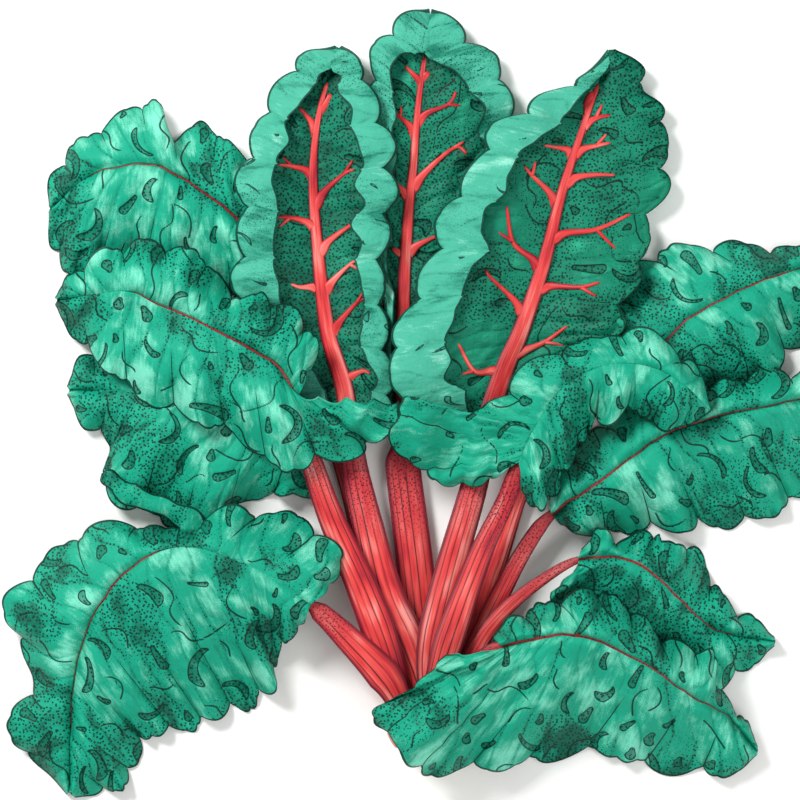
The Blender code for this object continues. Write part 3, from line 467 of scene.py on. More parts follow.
class Route:
    """A smooth curve through given points, read by the distance along it."""

    def __init__(self, points):
        p = np.array(points, float)
        p = np.vstack([2 * p[0] - p[1], p, 2 * p[-1] - p[-2]])
        t = np.linspace(0, 1, ROUTE_STEPS, endpoint=False)[:, None]
        spans = []
        for a, b, c, d in zip(p, p[1:], p[2:], p[3:]):
            spans.append(b + 0.5 * t * (c - a + t * (2 * a - 5 * b + 4 * c - d
                                                     + t * (3 * (b - c) + d - a))))
        self.points = np.vstack(spans + [p[-2:-1]])
        steps = np.linalg.norm(np.diff(self.points, axis=0), axis=1)
        self.run = np.concatenate([[0.0], np.cumsum(steps)])
        self.marks = self.run[::ROUTE_STEPS]
        self.length = self.run[-1]

    def at(self, distance):
        """The point at a distance along the curve."""
        return np.stack([np.interp(distance, self.run, self.points[:, i]) for i in range(3)], -1)

    def heading(self, distance):
        """The way the curve runs there."""
        ahead = self.at(distance + 2.0) - self.at(distance - 2.0)
        return ahead / np.linalg.norm(ahead, axis=-1, keepdims=True)


def sideways(heading):
    """Level unit vectors that point to the left of a heading."""
    left = np.stack([-heading[..., 1], heading[..., 0], 0 * heading[..., 0]], -1)
    return left / np.maximum(np.linalg.norm(left, axis=-1, keepdims=True), 1e-9)


def smooth(x):
    """A soft step from 0 to 1 as x goes from 0 to 1."""
    x = np.clip(x, 0, 1)
    return x * x * (3 - 2 * x)


def between(field, i, j, u, v):
    """A field's value a share u and v of the way from cell i, j to the next ones."""
    return ((1 - u) * (1 - v) * field[i, j] + u * (1 - v) * field[i + 1, j]
            + (1 - u) * v * field[i, j + 1] + u * v * field[i + 1, j + 1])


def hills(x, y, size, seed):
    """Smooth random hills of a given size, between -1 and 1."""
    lattice = np.random.default_rng(seed).uniform(-1, 1, (HILL_CELLS + 1, HILL_CELLS + 1))
    a, b = x / size % HILL_CELLS, y / size % HILL_CELLS
    i, j = a.astype(int), b.astype(int)
    return between(lattice, i, j, smooth(a - i), smooth(b - j))


def columns_for(lengths):
    """How many columns of points a sheet gets, from how long its rows are."""
    return round(np.percentile(lengths, 80) / COLUMN_WIDTH)


def rest_on_table(height):
    """Keep a height above the table, bending softly where it would fall below."""
    over = height - LOWEST
    return LOWEST + 0.5 * (over + np.sqrt(over ** 2 + TABLE_SOFTNESS ** 2))


def stem_thickness(width):
    """How thick a stem is where it has a given width."""
    return np.clip(STEM_FLATNESS * width, *STEM_THICKNESS)


class Leaf:
    """The lines of one leaf: its middle, its two margins, their lobes and where things start."""

    def __init__(self, table):
        self.table, self.name, self.puff = table, table["name"], table["puff"]
        self.seed = FIRST_SEED + LAID.index(self.name)
        self.middle = Route(table["stalk"] + table["midrib"])
        self.blade_start = self.middle.marks[len(table["stalk"])]
        self.margins = [Route(table["left"]), Route(table["right"])]
        self.margin_length = (self.margins[0].length + self.margins[1].length) / 2
        self.lobes = round(self.margin_length / LOBE_LENGTH)
        self.blade_length = self.middle.length - self.blade_start
        self.rib_end = self.middle.length - self.blade_length / self.lobes
        self.draws = np.random.default_rng(self.seed)

    def rows(self, side):
        """The rows of one half: how far along the midrib each starts, and along the margin ends."""
        fan = np.array(self.table.get("fans", ([], []))[side] or [(0, 0), (1, 1)], float)
        row = np.linspace(0, 1, self.lobes * ROWS_PER_LOBE + 1)
        share, reach = (np.interp(row, fan.mean(axis=1), fan[:, i]) for i in (0, 1))
        return self.blade_start + share * self.blade_length, reach

    def shown(self, stations):
        """How far the blade is open over its midrib."""
        share = (stations - self.blade_start) / self.blade_length
        first, last = self.table.get("shows", (-1.0, 2.0))
        return smooth((share - first) / SHOW_FADE) * smooth((last - share) / SHOW_FADE)

    def stem_width(self, distance):
        """How wide the stem is at a distance from the crown."""
        marks = (0.0, *(mark * self.blade_start for mark in STALK_MARKS), self.blade_start,
                 self.rib_end)
        return np.interp(distance, marks, self.table["widths"])

    def margin_rows(self, reach):
        """How far the margin stands out and lifts at each row, lobe by lobe."""
        along = reach * self.lobes
        lobe = np.minimum(along.astype(int), self.lobes - 1)
        size = self.draws.uniform(*LOBE_SIZES, self.lobes)[lobe]
        swell = np.abs(np.sin(math.pi * along)) ** LOBE_ROUNDNESS * size
        fade = np.clip(np.minimum(along, self.lobes - along) / (END_FADE * self.lobes), 0, 1)
        turn = np.where(lobe % 2 == 0, 1.0, -1.0)
        crowd, often = SCALLOP_DRIFT
        phase = SCALLOPS_PER_LOBE * along + crowd * np.sin(often * along + self.seed)
        calm = CALM if "band" in self.table else 1.0
        scallop = calm * SCALLOP_OUT * (np.abs(np.sin(math.pi * phase)) - SCALLOP_MEAN)
        out = (LOBE_OUT * (swell - LOBE_MEAN) + scallop) * fade
        crowd, often = RUFFLE_DRIFT
        phase = RUFFLES_PER_SCALLOP * phase + crowd * np.sin(often * along)
        ruffle = calm * RUFFLE * np.sin(2 * math.pi * phase) * fade
        return out, LOBE_WAVE * swell * turn * fade, ruffle


def grain_place(leaf, x, y):
    """Where each point lies in its leaf's own grain, apart from all other leaves'."""
    return np.stack([x, y, 0 * x + LEAF_APART * leaf.seed], -1)


def swell_between_veins(leaf, reach, v, width, side):
    """The blade's small relief: it swells between side veins that lean to the tip."""
    along = (reach * leaf.lobes)[:, None]
    x = reach[:, None] * leaf.margin_length + 0 * width
    y = v * width * (1, -1)[side] + 300 * side
    warp = QUILT_WARP[1] * hills(x, y, QUILT_WARP[0], leaf.seed + 300)
    phase = QUILTS_PER_LOBE * (along + VEIN_SWEEP * (1 - v) ** 1.5 + warp) + 0.5 * side
    ridge = np.abs(np.sin(math.pi * phase)) ** QUILT_SHARPNESS
    body = np.sin(math.pi * np.clip(v, 0, 1) ** 0.75) ** 0.5
    relief = QUILT * (ridge - QUILT_MEAN) * body
    for number, (size, height) in enumerate(HILLS):
        relief = relief + height * hills(x, y, size, leaf.seed + 100 * number) * body
    starts = np.random.default_rng(leaf.seed + side).uniform(*FOLD_REACH, leaf.lobes + 1)
    before = smooth((np.interp(along, np.arange(leaf.lobes + 1), starts) - v) / FOLD_FADE)
    bent = along + 0.5 * (1 - v) * hills(along, 0 * along, FOLD_BEND, leaf.seed + 900 + side)
    fold = np.sin(math.pi * bent) * LOBE_LENGTH / math.pi * (1 + FOLD_LOST * before)
    relief = relief - FOLD_DEPTH * np.exp(-(fold / FOLD_WIDTH) ** 2) * (v > FOLD_FADE)
    return relief, x, y, smooth(1 - ridge / QUILT_FURROW), fold


def sink_blisters(leaf, pattern, v, width, spots):
    """Short bent furrows where the blade puckers: how deep each point sinks, and how far it is
    from the nearest furrow's rim."""
    sink, away = np.zeros(v.shape), np.full(v.shape, FAR)
    room = (v * width > BLISTER_ROOM[0]) & ((1 - v) * width > BLISTER_ROOM[1])
    room[:6], room[-6:], room[:, :2], room[:, -2:] = False, False, False, False
    rows, columns = np.nonzero(room)
    kept = []
    for pick in leaf.draws.permutation(len(rows))[:spots * BLISTER_TRIES]:
        row, column = rows[pick], columns[pick]
        here = pattern[row, column]
        if leaf.draws.uniform() > BLISTERS_INSIDE + (1 - BLISTERS_INSIDE) * v[row, column] ** 1.5:
            continue
        if all(np.hypot(*(here - other)) > BLISTER_PITCH * BLISTER_SPACING for other, *_ in kept):
            kept.append((here, row, column))
        if len(kept) == spots:
            break
    for number, (here, row, column) in enumerate(kept):
        lean = leaf.draws.normal(0, BLISTER_LEAN)
        half_length = np.interp(leaf.draws.uniform() ** 1.5, (0, 1), BLISTER_LENGTH)
        half_width = leaf.draws.uniform(*BLISTER_WIDTH)
        bend = leaf.draws.uniform(-BLISTER_BEND, BLISTER_BEND)
        twist = 0.0
        if number % 5 in (1, 3):
            half_length, half_width = leaf.draws.uniform(*CREASE_LENGTH), CREASE_WIDTH
            bend = bend * CREASE_BEND / BLISTER_BEND
            twist = leaf.draws.uniform(-CREASE_TWIST, CREASE_TWIST)
        run = pattern[row, column + 2] - pattern[row, column - 2]
        angle = math.atan2(run[1], run[0]) + lean
        offset = pattern - here
        x = offset[..., 0] * math.cos(angle) + offset[..., 1] * math.sin(angle)
        y = offset[..., 1] * math.cos(angle) - offset[..., 0] * math.sin(angle)
        near = np.clip(x, -1.5 * half_length, 1.5 * half_length)
        y = (y + bend * near ** 2 + twist * near ** 3) / np.hypot(
            1, 2 * bend * near + 3 * twist * near ** 2)
        half_width = half_width * (1 + BLISTER_TAPER * np.clip(x / half_length, -1, 1))
        off = np.hypot(np.maximum(np.abs(x) - half_length, 0), y) - half_width
        lip, out, wide = BLISTER_LIP
        sink = np.maximum(sink, smooth((0.5 - off) / BLISTER_WALL)
                          - lip * np.exp(-((off - out) / wide) ** 2))
        away = np.minimum(away, off)
    return BLISTER_DEPTH * sink, away


def hanging_half(leaf, side, middle, slit, channel):
    """Half a blade that falls from its midrib to a ruffled margin, and what its skin shows."""
    stations, along_margin = leaf.rows(side)
    turned = (1, -1)[side]
    stray = SLIT_WANDER[0] * min(1, slit[0]) * hills(stations, 0 * stations, SLIT_WANDER[1],
                                                     leaf.seed + 700)
    half = np.interp(stations, (leaf.blade_start, leaf.rib_end), slit) + turned * stray
    half = np.maximum(half, 0) * smooth((leaf.rib_end + 3 - stations) / 6) * leaf.shown(stations)
    inner = middle(stations) + sideways(leaf.middle.heading(stations)) * (turned * half)[:, None]
    outer = leaf.margins[side].at(along_margin * leaf.margins[side].length)
    outer[-1] = inner[-1]
    out, wave, ruffle = leaf.margin_rows(along_margin)
    reach = outer - inner
    level = reach * (1, 1, 0)
    span = np.linalg.norm(level, axis=1)
    away = level / np.maximum(span, 1.0)[:, None]
    v = np.linspace(0, 1, columns_for(span))[None, :]
    points = (inner[:, None] + reach[:, None] * v[..., None]
              + away[:, None] * (out[:, None] * v * v)[..., None])
    width = np.maximum(span + out, 0.5)[:, None] + 0 * v
    v = v + 0 * width
    size = np.minimum(1, width / NARROW)
    start = np.exp(-(stations - leaf.blade_start) / START_DEPTH)[:, None] * smooth(v * width / 20)
    scallop = np.sin(math.pi * (v * width / START_SCALLOP_WIDTH + 0.3 * leaf.seed))
    points -= (START_SCALLOP * start * (np.abs(scallop) - 0.5))[..., None] * leaf.middle.heading(
        stations)[:, None]
    relief, x, y, furrow, fold = swell_between_veins(leaf, along_margin, v, width, side)
    area = np.linalg.norm(np.cross(points[1:, :-1] - points[:-1, :-1],
                                   points[:-1, 1:] - points[:-1, :-1]), axis=-1).sum()
    sink, blister = sink_blisters(leaf, points[..., :2], v, width,
                                  round(area / BLISTER_PITCH ** 2))
    points[..., 2] += (leaf.puff * np.sin(math.pi * v ** 0.8) + wave[:, None] * v ** 1.1
                       + ruffle[:, None] * v ** 5 * size + relief * size - sink * size
                       + START_SCALLOP * start * scallop)
    dip = channel * leaf.shown(stations)[:, None]
    points[..., 2] -= dip * (1 - smooth(v * width / CHANNEL_WIDTH)) * size
    points[..., 2] = rest_on_table(points[..., 2])
    # Painted shade: deeper on the lobes that fall away, in the furrows and in the hollows of the
    # relief; lighter on its crests.
    low_lobe = np.clip(-wave / LOBE_WAVE, 0, 1)[:, None] * v ** 3
    shade = np.clip(leaf.table.get("shade", BLADE_SHADE) + 0.4 * low_lobe + 0.3 * furrow
                    + 0.6 * hills(x, y, SHADE_SIZE, leaf.seed + 500) - 0.16 * relief, 0, 1)
    # Patches of painted shadow and painted light, each blended to its own level.
    for cx, cy, radius, level in leaf.table.get("painted_light_and_shade", ()):
        off = np.hypot(points[..., 0] - cx, points[..., 1] - cy) / radius
        off = off + TONE_EDGE[1] * hills(x, y, TONE_EDGE[0], leaf.seed + 40)
        shade = shade + (level - shade) * smooth(TONE_SHARPNESS * (1 - off))
    return points, {"place": grain_place(leaf, x, y), "edge": (1 - v) * width,
                    "furrow": furrow * size, "blister": blister, "fold": fold, "shade": shade}


def curled_lobe(leaf, points, marks):
    """A narrow lobe that leaves the right margin on its own, grown on from the margin's rows."""
    route = Route(leaf.table["curl"])
    stations = np.linspace(0, route.length, round(route.length / COLUMN_WIDTH) + 1)
    width = np.interp(stations, route.marks, leaf.table["curl_widths"])
    end = np.clip((route.length - stations) / (width[-1] / 2), 0, 1)
    width = width * np.sqrt(1 - (1 - end) ** 2)
    margin = points[:, -1]
    root = np.argmin(np.hypot(*(margin[:, :2] - route.points[0, :2]).T))
    spread_by = round(width[0] / 2 / np.linalg.norm(margin[root + 1] - margin[root]))
    rows = np.arange(root - spread_by, root + spread_by + 1)
    t = np.linspace(-1, 1, len(rows))[:, None]
    waver = 1 + CURL_WAVER * np.sin(stations / 3.1 + 2 * np.sign(t))
    offset = t * width / 2 * waver
    sheet = route.at(stations)[None] + offset[..., None] * sideways(route.heading(stations))[None]
    sheet[..., 2] += CURL_PUFF * (1 - t * t) + CURL_RUFFLE * t * np.sin(stations / 4.3)
    joined = smooth(stations / CURL_ROOT)[None, :, None]
    sheet = margin[rows][:, None] * (1 - joined) + sheet * joined
    sheet[:, 0] = margin[rows]
    edge = (1 - np.abs(t)) * width / 2
    edge = np.minimum(edge, (route.length - stations) + 0 * edge)
    beside = np.minimum(rows - rows[0], rows[-1] - rows)[:, None] > 1
    marks["edge"][rows] = np.where(beside, np.maximum(marks["edge"][rows], FAR),
                                   marks["edge"][rows])
    x, y = sheet[..., 0], sheet[..., 1]
    # Painted shade, deepest towards the tip of the curl.
    shade = np.clip(0.35 + 0.6 * smooth((stations - route.length + 14) / 8)
                    + 0.4 * hills(x - 2 * y.min(), y - y.min(), 9.0, leaf.seed) + 0 * t, 0, 1)
    away = FAR + 0 * edge
    return sheet, {"place": grain_place(leaf, x + 500, y + 500), "edge": edge,
                   "furrow": 0 * edge, "blister": away, "fold": away, "shade": shade}


def stem_rings(leaf):
    """A ribbed stem lofted through rings of points, closed at both ends, and its skin's marks."""
    end = leaf.rib_end + RIB_TAIL * leaf.blade_length / leaf.lobes
    stations = np.linspace(0, end, round(end / STEM_STEP) + 1)
    centres = leaf.middle.at(stations)
    centres[0, 1] = CROWN_FACE_Y - SUNK_IN_CROWN
    heading = leaf.middle.heading(stations)
    heading[0] = (0, 1, 0)
    left = sideways(heading)
    up = np.cross(heading, left)
    width = leaf.stem_width(stations)
    width[-1] = END_WIDTH
    turn = (np.arange(STEM_SIDES) + 0.5) / STEM_SIDES
    angle = 2 * math.pi * turn
    before = (leaf.blade_start - stations)[:, None]
    drift = GROOVE_DRIFT[0] * np.sin(2 * angle + leaf.seed + stations[:, None] / GROOVE_DRIFT[1])
    count = turn * STEM_RIBS + drift * np.sin(angle) ** 2
    beat = (count + 0.5) % 1 - 0.5
    deep = leaf.draws.uniform(*GROOVES_DEEP, STEM_RIBS + 2)[np.floor(count).astype(int) + 1]
    smoothed = 1 - SMOOTHED[0] * smooth((SMOOTHED[1] - before) / SMOOTHED[2])
    groove = np.exp(-(beat / GROOVE_WIDTH) ** 2) * deep * smoothed
    # A painted shade line along the middle of each deep groove.
    line = np.cos(2 * math.pi * beat) - (1 - smoothed) - (deep < FAINT_GROOVE)
    rib = 1.0 - GROOVE_DEPTH * groove * np.minimum(1, BROAD_STEM / width)[:, None]
    across = 0.5 * width[:, None] * rib * np.cos(angle)
    above = 0.5 * stem_thickness(width)[:, None] * rib * np.sin(angle)
    above = above * np.where(above > 0, FLAT_TOP, 1.0)
    points = (centres[:, None] + across[..., None] * left[:, None]
              + above[..., None] * up[:, None])
    turning = min(TURNING[0], TURNING[1] * leaf.blade_start)
    dotted = min(DOTTED[0], DOTTED[1] * leaf.blade_start)
    # Painted shadow of the blade, darkening the stem where it runs in under it.
    under_blade_shadow = smooth((turning - before) / (turning + 25)) + 0 * groove
    if "band" in leaf.table:
        under_blade_shadow = under_blade_shadow * smooth((before + 25) / 30)
    # Where painted shade dots lie on the stalk, before its blade.
    top = smooth((dotted - before) / (0.7 * dotted)) * smooth((before + 12) / 24) + 0 * groove
    # Painted shade along both sides of the stem.
    flank_shade = smooth((np.abs(np.cos(angle)) - 0.6) / 0.33) + 0 * groove
    place = grain_place(leaf, turn * GRAIN_ROUND + 0 * across, stations[:, None] + 0 * across)
    return points, {"place": place, "groove": groove, "line": line, "under_blade_shadow": under_blade_shadow,
                    "flank_shade": flank_shade, "top": top}


def faces_of(points, first, around=False, flipped=False):
    """Four-sided faces over a sheet of points, or round a tube of them."""
    rows, columns = points.shape[:2]
    index = first + np.arange(rows * columns).reshape(rows, columns)
    if around:
        index = np.concatenate([index, index[:, :1]], 1)
    a, b, c, d = index[:-1, :-1], index[:-1, 1:], index[1:, 1:], index[1:, :-1]
    faces = np.stack([a, b, c, d], -1).reshape(-1, 4)
    return faces[:, ::-1] if flipped else faces


def cells(spots):
    """Where points lie on the table, counted in its cells."""
    place = (spots[..., :2] - TABLE_LOW) / CELL
    return np.clip(place, 0, TABLE_CELLS - 1.001)


def scan(spots, lowest):
    """The lowest or highest of some points over each cell of the table."""
    sign = -1.0 if lowest else 1.0
    found = np.full(TABLE_CELLS, NOTHING)
    cell = cells(spots).astype(int)
    np.maximum.at(found, (cell[:, 0], cell[:, 1]), sign * spots[:, 2])
    return np.where(found > NOTHING, sign * found, np.nan)


def spread(need):
    """A smooth lift that is at least the need everywhere."""
    lift = need
    for passes, join in ((2, np.max), (2, np.mean)):
        for _ in range(passes):
            for axis in (0, 1):
                pad = [(0, 0), (0, 0)]
                pad[axis] = (REACH, REACH)
                wide = np.pad(lift, pad, mode="edge")
                n = lift.shape[axis]
                lift = join([np.take(wide, range(k, k + n), axis)
                             for k in range(2 * REACH + 1)], axis=0)
    return lift


def read(field, spots):
    """A field's value over some points, blended between cells."""
    place = np.clip(cells(spots) - 0.5, 0, TABLE_CELLS - 1.001)
    i = place.astype(int)
    part = place - i
    return between(field, i[..., 0], i[..., 1], part[..., 0], part[..., 1])


def solid_spots(node):
    """Points spread over a solid of the frame, closer together than the table's cells."""
    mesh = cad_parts[node].data
    mesh.calc_loop_triangles()
    triangles = np.zeros(len(mesh.loop_triangles) * 3, int)
    mesh.loop_triangles.foreach_get("vertices", triangles)
    corners = (spots_of(mesh) / MM - plan_shift)[triangles.reshape(-1, 3)]
    longest = np.max(np.linalg.norm(corners - np.roll(corners, 1, axis=1), axis=2), axis=1)
    steps = np.maximum(1, np.ceil(longest / (0.7 * CELL))).astype(int)
    found = []
    for n in np.unique(steps):
        i, j = np.meshgrid(np.arange(n + 1), np.arange(n + 1))
        keep = i + j <= n
        weights = np.stack([i[keep], j[keep], n - i[keep] - j[keep]], 1) / n
        found.append(np.einsum("wk,tkc->twc", weights, corners[steps == n]).reshape(-1, 3))
    return np.vstack(found)


# What lies under each leaf: the crown, set back clear of the stalks' ends, and the lower leaves.
under_leaf = {}
pile = np.fmax(NOTHING, scan(solid_spots("crown") - (0, 2 * CELL, 0), lowest=False))
for name in LAID:
    under_leaf[name] = pile
    for part in ("_stem", "_blade"):
        pile = np.fmax(pile, scan(solid_spots(name + part), lowest=False))


def lay(leaf, sheets):
    """Raise a leaf's sheets of points together until they clear what lies under them."""
    for _ in range(LAY_ROUNDS):
        need = np.zeros(TABLE_CELLS)
        for points in sheets:
            middles = (points[:-1, :-1] + points[1:, 1:]) / 2
            spots = np.vstack([points.reshape(-1, 3), middles.reshape(-1, 3)])
            need = np.fmax(need, under_leaf[leaf.name] + CLEARANCE - scan(spots, lowest=True))
        if need.max() < NEAR_ENOUGH:
            break
        lift = spread(need)
        for points in sheets:
            points[..., 2] += read(lift, points)
    top = cad_box[1].z / MM + TOP_SPARE
    for points in sheets:
        points[..., 2] = np.minimum(points[..., 2], top)


def mesh_of(name, sheets, marks, around=False):
    """One mesh from sheets of points, the first two of which are a blade's left and right."""
    faces, first = [], 0
    for number, points in enumerate(sheets):
        faces += faces_of(points, first, around, flipped=not around and number == 0).tolist()
        first += points.shape[0] * points.shape[1]
    if around:
        first = 0
        for points in sheets:
            rows, sides = points.shape[:2]
            faces.append(list(range(first, first + sides))[::-1])
            faces.append(list(range(first + (rows - 1) * sides, first + rows * sides)))
            first += rows * sides
    spots = np.vstack([points.reshape(-1, 3) for points in sheets])
    mesh = bpy.data.meshes.new(name)
    mesh.from_pydata(((spots + plan_shift) * MM).tolist(), [], faces)
    for key in marks[0]:
        width = 3 if marks[0][key].ndim == 3 else 1
        values = np.vstack([found[key].reshape(-1, width) for found in marks])
        carry(mesh, key, values if width == 3 else values[:, 0])
    shape = bmesh.new()
    shape.from_mesh(mesh)
    bmesh.ops.remove_doubles(shape, verts=shape.verts, dist=0.02 * MM)
    shape.to_mesh(mesh)
    shape.free()
    mesh.shade_smooth()
    return mesh


def wash(tree, tone, first, *between, last):
    """Paint that turns from one colour into the next as its tone rises."""
    made = add(tree, "ShaderNodeValToRGB", {"Fac": tone})
    for element, stop in zip(made.color_ramp.elements, (first, last)):
        element.position, element.color = stop
    for position, colour in between:
        made.color_ramp.elements.new(position).color = colour
    return made.outputs[0]


def pricks(tree, count):
    """How far each point is from the nearest of many dots, a number of them to the metre."""
    spot = add(tree, "ShaderNodeTexCoord").outputs["Object"]
    dots = add(tree, "ShaderNodeTexVoronoi", {"Vector": spot, "Scale": count},
               voronoi_dimensions="2D")
    return Amount(tree, dots.outputs["Distance"])


def blade_skin(name, light, main, dark, shade_ink, strokes_by=0.5, dots=0.62):
    """Leaf green in washes and strokes, with painted shade: dots, darker blisters and furrows,
    lines round blisters and along folds; and a dark margin.
    """
    skin, tree, shader = new_skin(name, 0.6)
    shader.inputs["Specular IOR Level"].default_value = 0.16
    place = add(tree, "ShaderNodeAttribute", attribute_name="place").outputs["Vector"]
    shade, blister, furrow, edge, fold = marks_of(tree, "shade", "blister", "furrow", "edge",
                                                  "fold")
    strokes = grain(tree, place, STROKES, 5.0)
    tone = ((strokes - 0.5) * strokes_by + 0.66 + (grain(tree, place, CLOUDS) - 0.5) * CLOUDS_BY
            + (grain(tree, place, PAPER, 2.0) - 0.5) * PAPER_BY + shade * SHADE_BY)
    colour = wash(tree, tone, (0.05, dark), (0.34, main), (0.55, main), last=(0.85, light))

    # Painted shade: denser dots and a darker green inside the sunk blisters.
    inside = blister < 0.0
    size = ((inside * DOTS_INSIDE + shade) * dots - 0.1).step("MINIMUM", LARGEST_DOT)
    shade_dots = pricks(tree, BLADE_DOTS) < size
    # Dark lines: painted shade round the blisters and along the folds, and a dark line along the
    # margin.
    line = (abs(blister) < RING_LINE).step("MAXIMUM", (edge < EDGE_LINE).step(
        "MAXIMUM", abs(fold) < FOLD_LINE))
    # Painted shade in the blisters and the furrows, then the painted shade dots and lines.
    for amount, over in ((inside * 0.65, dark), (furrow * 0.3, dark), (shade_dots * 0.9, shade_ink),
                         (line * 0.9, shade_ink)):
        colour = blend_paint(tree, amount, colour, over)
    tree.links.new(colour, shader.inputs["Base Color"])

    spot = add(tree, "ShaderNodeTexCoord").outputs["Object"]
    pores = add(tree, "ShaderNodeTexVoronoi", {"Vector": spot, "Scale": 210.0},
                feature="DISTANCE_TO_EDGE")
    pores = Amount(tree, pores.outputs[0]).step("MINIMUM", 0.25)
    emboss(tree, shader, pores * 1.2 + strokes * 1.2 - shade_dots * 0.2, 0.4)
    return skin


def stem_skin():
    """Coral red with painted shade in its grooves, so the ribs stand lighter, painted shade along
    its sides, and painted shadow with dots where it runs under its blade.
    """
    skin, tree, shader = new_skin("stem_skin", 0.45)
    shader.inputs["Specular IOR Level"].default_value = 0.3
    place = add(tree, "ShaderNodeAttribute", attribute_name="place").outputs["Vector"]
    groove, flank_shade, under_blade_shadow, top, line = marks_of(tree, "groove", "flank_shade", "under_blade_shadow", "top", "line")
    strokes = grain(tree, place, STEM_STROKES, 4.0)
    patches = grain(tree, place, STEM_PATCHES, 2.0)
    colour = wash(tree, patches * 1.05 + strokes * 0.4, (0.50, paint(146, 20, 40)),
                  (0.64, paint(200, 46, 48)), (0.78, paint(218, 74, 70)),
                  last=(0.95, paint(236, 140, 132)))
    # Painted shade dots under the blade and on the stalk's top.
    shade_dots = pricks(tree, STEM_DOTS) < under_blade_shadow.step("MAXIMUM", top) * LARGEST_STEM_DOT
    shade_lines_and_dots = (strokes * 1.7 * (line > 0.9) + shade_dots).step("MINIMUM", 0.9)
    # Painted shade in the grooves and along the sides, painted shadow under the blade and on the
    # stalk's top, and dark painted shade lines and dots.
    for amount, over in ((groove * 0.7, paint(134, 14, 34)), (flank_shade * 0.85, paint(96, 8, 34)),
                         (under_blade_shadow * 0.8, paint(104, 22, 30)), (top * 0.35, paint(142, 22, 48)),
                         (shade_lines_and_dots, paint(56, 4, 16))):
        colour = blend_paint(tree, amount, colour, over)
    tree.links.new(colour, shader.inputs["Base Color"])
    emboss(tree, shader, strokes, 0.35)
    return skin


red_skin = stem_skin()
green_skin = blade_skin("green_skin", paint(112, 206, 178), paint(16, 152, 122),
                        paint(4, 94, 74), paint(2, 42, 33))
pale_skin = blade_skin("pale_underside_skin", paint(142, 214, 192), paint(66, 166, 140),
                       paint(20, 116, 94), paint(4, 52, 42), strokes_by=0.6, dots=0.34)


def grow_stem(leaf, sheets, marks):
    """Put a leaf's stalk, midrib and thick veins in the place of its solid stem."""
    mesh = mesh_of(leaf.name + "_stalk", sheets, marks, around=True)
    stem = bpy.data.objects.new(mesh.name, mesh)
    stand_for(stem, [red_skin], "red_stem", leaf.name + "_stem")


def grow_blade(leaf, sheets, marks, skin, slot):
    """Put a leaf's blade in the place of its solid one, green above and paler below."""
    mesh = mesh_of(leaf.name + "_leaf", sheets, marks)
    blade = bpy.data.objects.new(mesh.name, mesh)
    thicken = blade.modifiers.new("thickness", "SOLIDIFY")
    thicken.thickness = BLADE_THICKNESS * MM
    thicken.offset = 0.0
    thicken.material_offset = 1
    stand_for(blade, [skin, pale_skin], slot, leaf.name + "_blade")


def hang_leaf(table, slit=SLIT, under_gap=UNDER_GAP, channel=CHANNEL_DEPTH):
    """Grow a leaf whose blade hangs on both sides of a thin midrib that shows as a line."""
    leaf = Leaf(table)

    def middle(stations):
        """The blade's own middle line, over its midrib."""
        width = leaf.stem_width(np.minimum(stations, leaf.rib_end))
        seat = FLAT_TOP * stem_thickness(width) / 2 + BLADE_THICKNESS / 2 + under_gap
        return leaf.middle.at(stations) + (0, 0, 1) * seat[:, None]

    halves = [hanging_half(leaf, side, middle, slit, channel) for side in (0, 1)]
    if "curl" in table:
        halves.append(curled_lobe(leaf, *halves[1]))
    stem, stem_marks = stem_rings(leaf)
    sheets = [points for points, _ in halves]
    lay(leaf, [stem, *sheets])
    grow_stem(leaf, [stem], [stem_marks])
    grow_blade(leaf, sheets, [marks for _, marks in halves], green_skin, "green_blade")


for table in SIDE_LEAVES:
    hang_leaf(table)


# The three upright leaves at the back of the bunch.
# Each lies on its back: a blistered face, painted darker as in shade, beside a broad red midrib
# with forked side veins, and margins that roll forward over the face and show the paler underside.
RIB_SEAT = -1.4               # the blade beside the midrib, from the midrib's middle
ROLL_RADIUS = 4.6
ROLL_SHARE = 0.28             # the most that the roll takes of its half's width
BAND_RISE = 2.0               # how much higher a band's free edge is than the roll
BAND_OUT = 0.85               # how far the lobes show in a band's free edge
BAND_STRAY = (5.0, 13.0)      # how far that edge strays in and out, and over what length
BAND_WAVE = 0.35              # how much of the lobes' waves it has
BAND_SHARE = 0.7              # the most that a band covers of its half of the face
ROLL_COLUMNS = 14
RIDGE_LINE = 0.32             # a painted shade line where the roll turns, as the margin has a dark line at its edge
FACE_SHADE = 0.5
VEIN_SIDES = 12
VEIN_STEP = 1.5
VEIN_RADIUS = (2.4, 0.9)      # at its root and at its end
WIDEST_VEIN = 0.8             # the most that it takes of half its midrib's width
VEIN_END = 0.35               # how much its last ring narrows
VEIN_HEIGHT = 0.8             # how high it is for its width
VEIN_SIDE_SHADE = 0.75           # how dark the painted shade on its sides is
FORK_RADIUS = (1.3, 0.7)
VEIN_FLARE = 1.5              # how much wider a vein is where it leaves the midrib
FLARE_LENGTH = 3.5
VEIN_LEAN = 7.0               # how far down the midrib a vein has its root
CLOSING = 0.07                # the part of the blade in which the two bands close over the tip
CLOSED_BY = 12.0              # how much farther they reach over the face there
OVERLAP = 2.5                 # how far they go over each other there
VEIN_LIFT = (0.35, 0.35)      # how far its middle is over the blade: at least, and by its radius
VEIN_ROOT = 0.4               # how far under the midrib's top it has its root
VEIN_SET_OFF = 0.3            # how far towards its second point it bends away from the midrib

